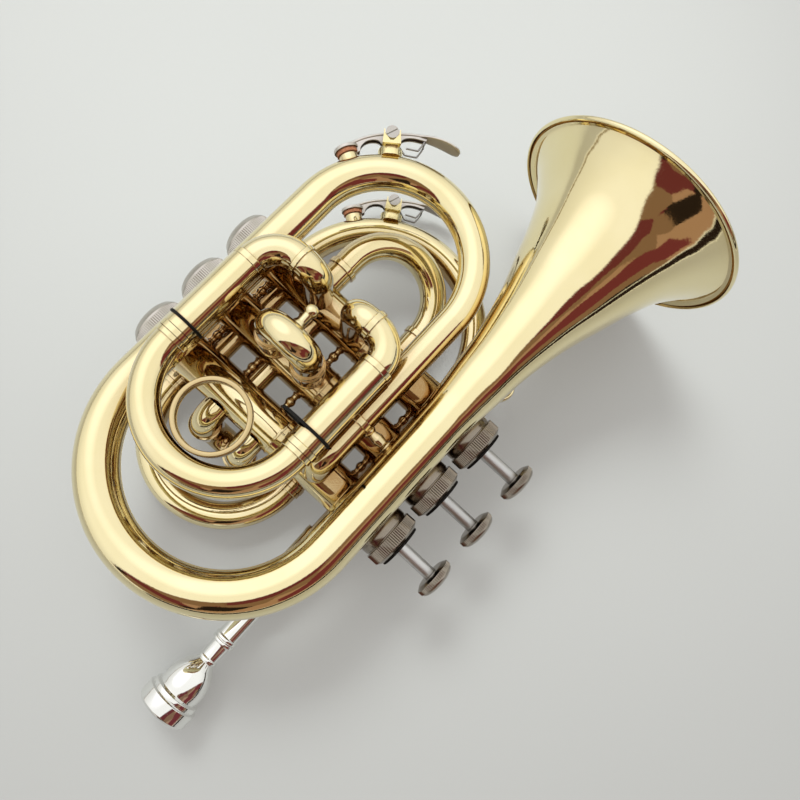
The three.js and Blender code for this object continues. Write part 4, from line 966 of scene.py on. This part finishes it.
def slide_bow(start, heading, side, toward, legs, ahead):
    """A bow with a leg at each end, from the end of its first leg"""
    collar = ahead - GAP
    ferrule, plain = min(SLIDE.ferrule_length, collar), max(collar - SLIDE.ferrule_length, GAP)
    pipe = Pipe(start, heading, side, SLIDE.leg, SLIDE.bore).ahead(legs)
    pipe.step(SLIDE.sleeve).ahead(ferrule).step(SLIDE.bow).ahead(plain)
    pipe.bend(toward.length / 2, math.pi, toward.normalized()).ahead(plain)
    return pipe.step(SLIDE.sleeve).ahead(ferrule).step(SLIDE.leg).ahead(legs).shell()


def leadpipe_tubes():
    """The tapered leadpipe and its front bow"""
    leg, ferrule = LEADPIPE, SLIDE.ferrule_length
    pipe = Pipe(at(leg.start, leg.y, LEADPIPE_Z), X, Z, leg.start_radius, leg.start_radius - leg.wall)
    pipe.ahead(leg.bow_x - leg.start - ferrule, leg.radius, leg.radius - leg.wall)
    dress("leadpipe", pipe.collar(ferrule, leg.radius + leg.wall).shell(), BRASS)
    bow = Pipe(at(leg.bow_x, leg.y, LEADPIPE_Z), X, Z, leg.radius, leg.radius - leg.wall)
    bow.bend(LEADPIPE_BEND.length / 2, math.pi, LEADPIPE_BEND.normalized(), SLIDE.bow)
    dress("leadpipe_front_bow", bow.shell().join(key_seat(leadpipe_key())), BRASS)


def back_run():
    """From the leadpipe's bow back to the tuning slide's sleeve"""
    start = at(LEADPIPE.bow_x, BACK_RUN_Y, BACK_RUN_Z)
    run = Pipe(start, -X, TUNING_SIDE, SLIDE.sleeve, SLIDE.bore).ahead(SLIDE.ferrule_length).step(SLIDE.bow)
    run.ahead(LEADPIPE.bow_x - SLIDE.ferrule_length - TUNING.sleeve_end)
    return to_sleeve(run, SLEEVE_LENGTH).shell()


def feed_run():
    """From the feed bow, with an easy double bend, to the tuning slide's other sleeve"""
    lean = at(0, TUNING.y - FEED.y, TUNING.z - FEED.z)
    slope = math.radians(FEED.slope)
    slant = (lean.length - 2 * FEED.ease * (1 - math.cos(slope))) / math.sin(slope)
    used = 2 * FEED.ease * math.sin(slope) + slant * math.cos(slope)
    aside = lean.normalized()
    away = aside * -math.cos(slope) - X * math.sin(slope)
    start = at(FEED.bow_x, FEED.y, FEED.z)
    run = Pipe(start, -X, TUNING_SIDE, SLIDE.sleeve, SLIDE.bore).ahead(SLIDE.ferrule_length).step(SLIDE.bow)
    run.ahead(FEED.bow_x - SLIDE.ferrule_length - TUNING.sleeve_end - used)
    run.bend(FEED.ease, slope, aside).ahead(slant).bend(FEED.ease, slope, away)
    return to_sleeve(run, SLEEVE_LENGTH).shell()


def feed_bow():
    """Round and into the third valve"""
    turn = at(0, FEED.port_y - FEED.y, -FEED.z)
    into = Pipe(at(FEED.bow_x, FEED.y, FEED.z), X, Z, SLIDE.bow, SLIDE.bore)
    into.bend(turn.length / 2, math.pi, turn.normalized()).ahead(FEED.bow_x - FEED.ferrule_x)
    into.collar(SLIDE.ferrule_length, SLIDE.sleeve)
    return into.ahead(FEED.ferrule_x - SLIDE.ferrule_length - NEAR - CASING_BORE).shell()


def leadpipe_and_tuning():
    dress("mouthpiece", mouthpiece(), SILVER, "mouthpiece")
    dress("mouthpiece_receiver", receiver(), BRASS)
    leadpipe_tubes()
    dress("leadpipe_back_run", back_run(), BRASS)
    dress("valve_feed_run", feed_run(), BRASS)
    dress("valve_feed_bow", feed_bow(), BRASS)
    start = at(TUNING.bow_x + SLIDE.ferrule_length + TUNING.legs, TUNING.y, TUNING.z)
    slide = slide_bow(start, -X, TUNING_SIDE, TUNING_BEND, TUNING.legs, SLIDE.ferrule_length)
    dress("tuning_slide", slide, BRASS, "main_tuning_slide")


# ---------------------------------------------------------------- valves

def casing_barrel(x):
    """A valve's tube, with the ring round it where its two halves meet"""
    start, outside = CASING_RING.start, CASING.radius + CASING_RING.stand
    end = start + CASING_RING.width
    return turned(((CASING.start, CASING.radius), (start, CASING.radius), (start, outside), (end, outside),
                   (end, CASING.radius), (CASING.end, CASING.radius), (CASING.end, CASING_BORE),
                   (CASING.start, CASING_BORE)), at(x, 0, 0), Y, edge=FINE_EDGE)


def spacer_post(y):
    """A turned baluster between two casings"""
    reach, ball, slim = PITCH / 2, SPACER.ball, SPACER.radius
    foot, bead, neck = (reach - place * ball for place in SPACER.bead_places)
    half = [(CASING_BORE, slim), (foot, slim), (bead, ball * SPACER.bead_share), (neck, slim),
            *((reach - ball * math.cos(t), max(slim, ball * math.sin(t))) for t in SPACER.ball_turns)]
    mirrored = [(PITCH - a, r) for a, r in reversed(half)]
    profile = [(half[0][0], 0), *half, (reach, ball), *mirrored, (mirrored[-1][0], 0)]
    return turned(profile, at(FAR, y, 0), X, ROUND.post)


def knuckle(x, y, radius):
    """A short tube from one casing to the next"""
    pipe = Pipe(at(x + CASING_BORE, y, 0), X, Z, radius, radius - SPACER.radius / 2)
    return pipe.ahead(PITCH - 2 * CASING_BORE).shell()


def valve_block():
    for number, x in ((1, FAR), (3, NEAR)):
        dress(f"valve_casing_{number}", casing_barrel(x), BRASS)
    posts = Shell().join(*(spacer_post(y) for y in SPACER.places))
    row = as_shell(grown(ROW, posts.mesh("posts"), BRASS, Count=len(VALVES) - 1, Step=(PITCH, 0, 0)))
    tubes = ((KNUCKLE_Y, SLIDE.bow), *((y, PASSAGES.radius) for y in PASSAGES.places))
    knuckles = [knuckle(x, y, radius) for x in (FAR, MIDDLE) for y, radius in tubes]
    dress("valve_casing_2", casing_barrel(MIDDLE).join(row, *knuckles), BRASS)
    for number, x in enumerate(VALVES, 1):
        valve(number, at(x, 0, 0), f"valve_{number}")


def knurled(profile, origin, axis, sizes, start, end, metal=NICKEL):
    """A turned nickel piece with a ring of ribs rolled into it"""
    return grown(KNURL, turned(profile).mesh("plain"), metal, facing(origin, axis), Count=sizes.ribs,
                 Radius=sizes.radius - RIBS.size, Rib=RIBS.size, Height=end - start, Start=(start + end) / 2)


def top_cap(axis):
    c = TOP_CAP
    body, ring_end, inside = c.radius - RIBS.stand, c.bevel + c.ring, CASING.radius + GAP
    profile = ((0, STEM.hole), (0, c.face), (c.bevel, body), (ring_end, body), (ring_end, c.groove),
               (ring_end + c.groove_width, c.groove), (ring_end + c.groove_width, c.waist),
               (c.end - c.skirt, c.waist), (c.end, c.waist - c.skirt_taper), (c.end, inside),
               (c.plate, inside), (c.plate, STEM.hole))
    return knurled(profile, axis, Y, c, c.bevel + c.plain, ring_end - c.plain)


def bottom_cap(axis):
    c = BOTTOM_CAP
    length, body, inside = c.end - c.start, c.radius - RIBS.stand, CASING.radius + GAP
    profile = ((0, inside), (0, body), (length - c.round, body), (length - c.crown, (c.radius + c.face) / 2),
               (length, c.face), (length, c.vent), (length - c.plate, c.vent), (length - c.plate, inside))
    ribs_end = length - c.round - c.plain_below
    return knurled(profile, axis + Y * c.start, Y, c, c.plain_above, ribs_end, CAP_NICKEL)


def finger_button(axis):
    b = BUTTON
    body = b.radius - RIBS.stand
    profile = ((0, 0), (0, b.underside), (b.lip, body), (b.rim, body),
               *((b.rim + rise * b.dome, out * body) for rise, out in DOME_SHARES))
    return knurled(profile, axis + Y * STEM.top, -Y, b, b.lip + b.plain, b.rim - b.plain)


def piston(axis):
    """Piston and stem turned from one bar"""
    p, slim = PISTON, PISTON.radius - PISTON.chamfer
    return turned(((STEM.top, 0), (STEM.top, STEM.radius), (p.start, STEM.radius), (p.start, slim),
                   (p.start + p.chamfer, p.radius), (p.end - p.chamfer, p.radius), (p.end, slim), (p.end, 0)),
                  axis, Y)


def valve_spring(number, axis):
    """The coil under a piston, which the valve's press squashes"""
    s = VALVE_SPRING
    start = PISTON.end + GAP + s.wire
    height = BOTTOM_CAP.end - BOTTOM_CAP.plate - GAP - s.wire - start
    coil = grown(COIL, bpy.data.meshes.new("coil"), STEEL, facing(axis + Y * start, Y), Radius=s.radius,
                 Turns=s.turns, Height=height, Wire=s.wire, Steps=s.steps)
    spring = dress(f"valve_spring_{number}", coil, STEEL)
    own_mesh(spring)


def valve(number, axis, body):
    dress(f"top_cap_{number}", top_cap(axis), NICKEL)
    dress(f"bottom_cap_{number}", bottom_cap(axis), CAP_NICKEL)
    felt = turned(hoop(-CAP_FELT.thickness, 0, CAP_FELT.hole, CAP_FELT.radius), axis, Y)
    dress(f"cap_felt_{number}", felt, FELT)
    dress(f"piston_{number}", piston(axis), SATIN, body)
    dress(f"finger_button_{number}", finger_button(axis), NICKEL, body)
    valve_spring(number, axis)


# ---------------------------------------------------------------- valve slides

def third_valve():
    """Two elbows from the casing, the slide that a finger pushes by its ring, and its elastic bands"""
    end = THIRD.bow_x + SLIDE.ferrule_length
    for name, port, leg, turn in (("third_elbow_lower", THIRD.upper_port, THIRD.upper_y, THIRD.upper_turn),
                                  ("third_elbow_upper", THIRD.lower_port, THIRD.lower_y, THIRD.lower_turn)):
        side = Y * math.copysign(1, leg - port)
        pipe = Pipe(at(NEAR, port, CASING_BORE), Z, side, SLIDE.bow, SLIDE.bore)
        pipe.ahead(THIRD.z - THIRD.elbow - CASING_BORE).bend(THIRD.elbow, math.pi / 2, side)
        pipe.collar(abs(leg - port) - THIRD.elbow - turn, SLIDE.sleeve).bend(turn, math.pi / 2, -X)
        dress(name, to_sleeve(pipe, NEAR - turn - end).shell(), BRASS)
    bend = at(0, THIRD.upper_y - THIRD.lower_y, 0)
    start = at(end + THIRD.legs, THIRD.lower_y, THIRD.z)
    bow = slide_bow(start, -X, Z, bend, THIRD.legs, SLIDE.ferrule_length)
    dress("third_slide", bow, BRASS, "third_valve_slide")
    r = FINGER_RING
    x = THIRD.bow_x - bend.length / 2 + SLIDE.bow + GAP + r.radius
    centre = at(x, (THIRD.upper_y + THIRD.lower_y) / 2, THIRD.z)
    ring = turned(hoop(-r.height / 2, r.height / 2, r.radius - r.wall, r.radius), centre, Z, edge=r.edge)
    dress("finger_ring", ring, RING_BRASS, "third_valve_slide")
    elastic_bands()


def elastic_bands():
    """A ring of elastic on one sleeve and a longer loop on the other, which hold the slide in"""
    wire = BAND.length / 2
    turns = [2 * math.pi * k / ROUND.wire for k in range(ROUND.wire)]
    section = [(wire * math.cos(t), BAND.radius - BAND.half + BAND.half * math.sin(t)) for t in turns]
    dress("slide_band_lower", turned(section, at(BAND.upper_x, THIRD.upper_y, THIRD.z), X, edge=0), RUBBER)
    outer, inner = ([*arc((BAND.reach, 0), radius, -QUARTER, QUARTER),
                     *arc((0, 0), radius, QUARTER, 3 * QUARTER)]
                    for radius in (BAND.radius, SLIDE.sleeve + GAP))
    place = Matrix((Y, Z, X)).transposed().to_4x4()
    place.translation = at(BAND.lower_x, THIRD.lower_y, THIRD.z)
    rings = [[place @ Vector((x, y, z)) for x, y in line]
             for line, z in ((outer, -wire), (outer, wire), (inner, wire), (inner, -wire))]
    dress("slide_band_upper", Shell().loft(rings, loop=True), RUBBER)


def second_valve():
    """Two sleeves that stand on the casing and a short bow with a pull knob"""
    for name, y in (("second_sleeve_upper", SECOND.near_y), ("second_sleeve_lower", SECOND.far_y)):
        pipe = Pipe(at(MIDDLE, y, CASING_BORE), Z, X, SLIDE.ferrule, SLEEVE_BORE).ahead(SLIDE.ferrule_length)
        pipe.step(SLIDE.sleeve).ahead(SECOND.sleeve_top - CASING_BORE - 2 * SLIDE.ferrule_length)
        dress(name, pipe.step(SLIDE.ferrule).ahead(SLIDE.ferrule_length).shell(), BRASS)
    bend = at(0, SECOND.far_y - SECOND.near_y, 0)
    start = at(MIDDLE, SECOND.near_y, SECOND.sleeve_top + GAP - SECOND.legs)
    bow = slide_bow(start, Z, X, bend, SECOND.legs, SECOND.bow_z - SECOND.sleeve_top)
    k = KNOB
    ball = [(k.stalk + k.ball * k.squat * (1 - math.cos(t)), k.ball * math.sin(t)) for t in k.ball_turns]
    profile = [(0, 0), (0, k.collar), (k.neck, k.neck), (k.stalk - k.neck, k.neck), *ball,
               (k.stalk + 2 * k.squat * k.ball, 0)]
    top = at(MIDDLE, (SECOND.far_y + SECOND.near_y) / 2, SECOND.bow_z + bend.length / 2)
    knob = turned(profile, top + X * (SLIDE.bow - GAP), X, ROUND.small)
    dress("second_slide", bow.join(knob), BRASS, "second_valve_slide")


def first_valve():
    """Two elbows that turn down from the casing and the small bow below them"""
    x = FAR - CASING.radius - FIRST.stub - FIRST.turn
    bend = (FIRST.far_y - FIRST.near_y) / 2
    bow_z = GROUND + FIRST.clear + SLIDE.bow + bend
    for name, y in (("first_elbow_upper", FIRST.near_y), ("first_elbow_lower", FIRST.far_y)):
        pipe = Pipe(at(FAR - CASING_BORE, y, 0), -X, Z, SLIDE.bow, SLIDE.bore)
        pipe.ahead(CASING.radius + FIRST.stub - CASING_BORE).bend(FIRST.turn, math.pi / 2, -Z)
        pipe.step(SLIDE.ferrule).ahead(FIRST.shoulder).step(SLIDE.ferrule, SLEEVE_BORE)
        dress(name, pipe.ahead(-FIRST.turn - bow_z - GAP - FIRST.shoulder).shell(), BRASS)
    pipe = Pipe(at(x, FIRST.near_y, bow_z + FIRST.legs), -Z, X, SLIDE.leg, SLIDE.bore).ahead(FIRST.legs)
    pipe.step(SLIDE.bow).bend(bend, math.pi, Y).step(SLIDE.leg).ahead(FIRST.legs)
    dress("first_slide", pipe.shell(), BRASS, "first_valve_slide")


# ---------------------------------------------------------------- hook, posts and braces

def pinky_hook():
    """A strap that stands on the leadpipe and curls over for the little finger"""
    h = HOOK
    middle, curl = h.x + h.thickness / 2, h.curl - h.thickness / 2
    start, top = LEADPIPE.y - LEADPIPE.radius, LEADPIPE.y - h.reach + h.curl
    path = [at(middle, mix(start, top, k / h.stem_steps), LEADPIPE_Z) for k in range(h.stem_steps + 1)]
    up = [X] * len(path)
    for k in range(1, h.curl_steps + 1):
        turn = math.pi - math.pi * k / h.curl_steps
        path.append(at(h.x + h.curl + curl * math.cos(turn), top - curl * math.sin(turn), LEADPIPE_Z))
        up.append(at(-math.cos(turn), math.sin(turn), 0))
    tips = [max(0.0, k / (len(path) - 1) - h.tip_from) / (1 - h.tip_from) for k in range(len(path))]
    widths = [h.width * (1 - h.tip_narrowing * tip ** 2) for tip in tips]
    wide, narrow = (h.width * share for share in h.foot_shares)
    foot = turned(((-h.thickness, 0), (-h.thickness, wide), (h.foot_lift, narrow), (h.foot_lift, 0)),
                  at(middle, start - h.foot_lift, LEADPIPE_Z), -Y)
    return swept(path, up, Z, widths, [h.thickness] * len(path), h.corners).join(foot)


def run_post(y, z, tube):
    """A post from a run of tubing up to the middle casing, with a flange below and a saddle above"""
    p, step, high = POST, POST.flange_thickness, -z - CASING.radius
    profile = ((tube - step, 0), (tube - step, p.flange), (tube + step, p.flange),
               (tube + 2 * step, p.radius), (high - 2 * step, p.radius), (high - step, p.saddle),
               (high + p.bedded, p.saddle), (high + p.bedded, 0))
    return turned(profile, at(MIDDLE, y, z), Z, edge=p.edge)


def bell_brace():
    """The turned brace between the bell and the return run"""
    b = BELL_BRACE
    start, end = BELL.y + BELL.throat - b.bedded, RETURN_RUN_Y - RETURN_RUN.radius + b.bedded
    length = end - start
    half = [(0, 0), *((along, b.ball * share) for along, share in BRACE_FOOT), (b.neck, b.radius)]
    profile = [*half, (length / 2, b.belly), *((length - a, r) for a, r in reversed(half))]
    return turned(profile, at(b.x, start, BELL.z), Y, ROUND.small, b.edge)


dress("bell_flare", bell_flare(), BELL_BRASS)
bell_tube()
water_keys()
leadpipe_and_tuning()
valve_block()
third_valve()
second_valve()
first_valve()
dress("pinky_hook", pinky_hook(), BRASS)
middle_share = (MIDDLE - LEADPIPE.start) / (LEADPIPE.bow_x - LEADPIPE.start)
radius_there = mix(LEADPIPE.start_radius, LEADPIPE.radius, middle_share)
dress("leadpipe_brace", run_post(LEADPIPE.y, LEADPIPE_Z, radius_there), BRASS)
dress("back_run_brace", run_post(BACK_RUN_Y, BACK_RUN_Z, SLIDE.bow), BRASS)
dress("bell_brace", bell_brace(), BRASS)

view = bpy.context.scene.view_settings
view.view_transform = "Standard"
view.look = "None"
view.exposure = 0.0
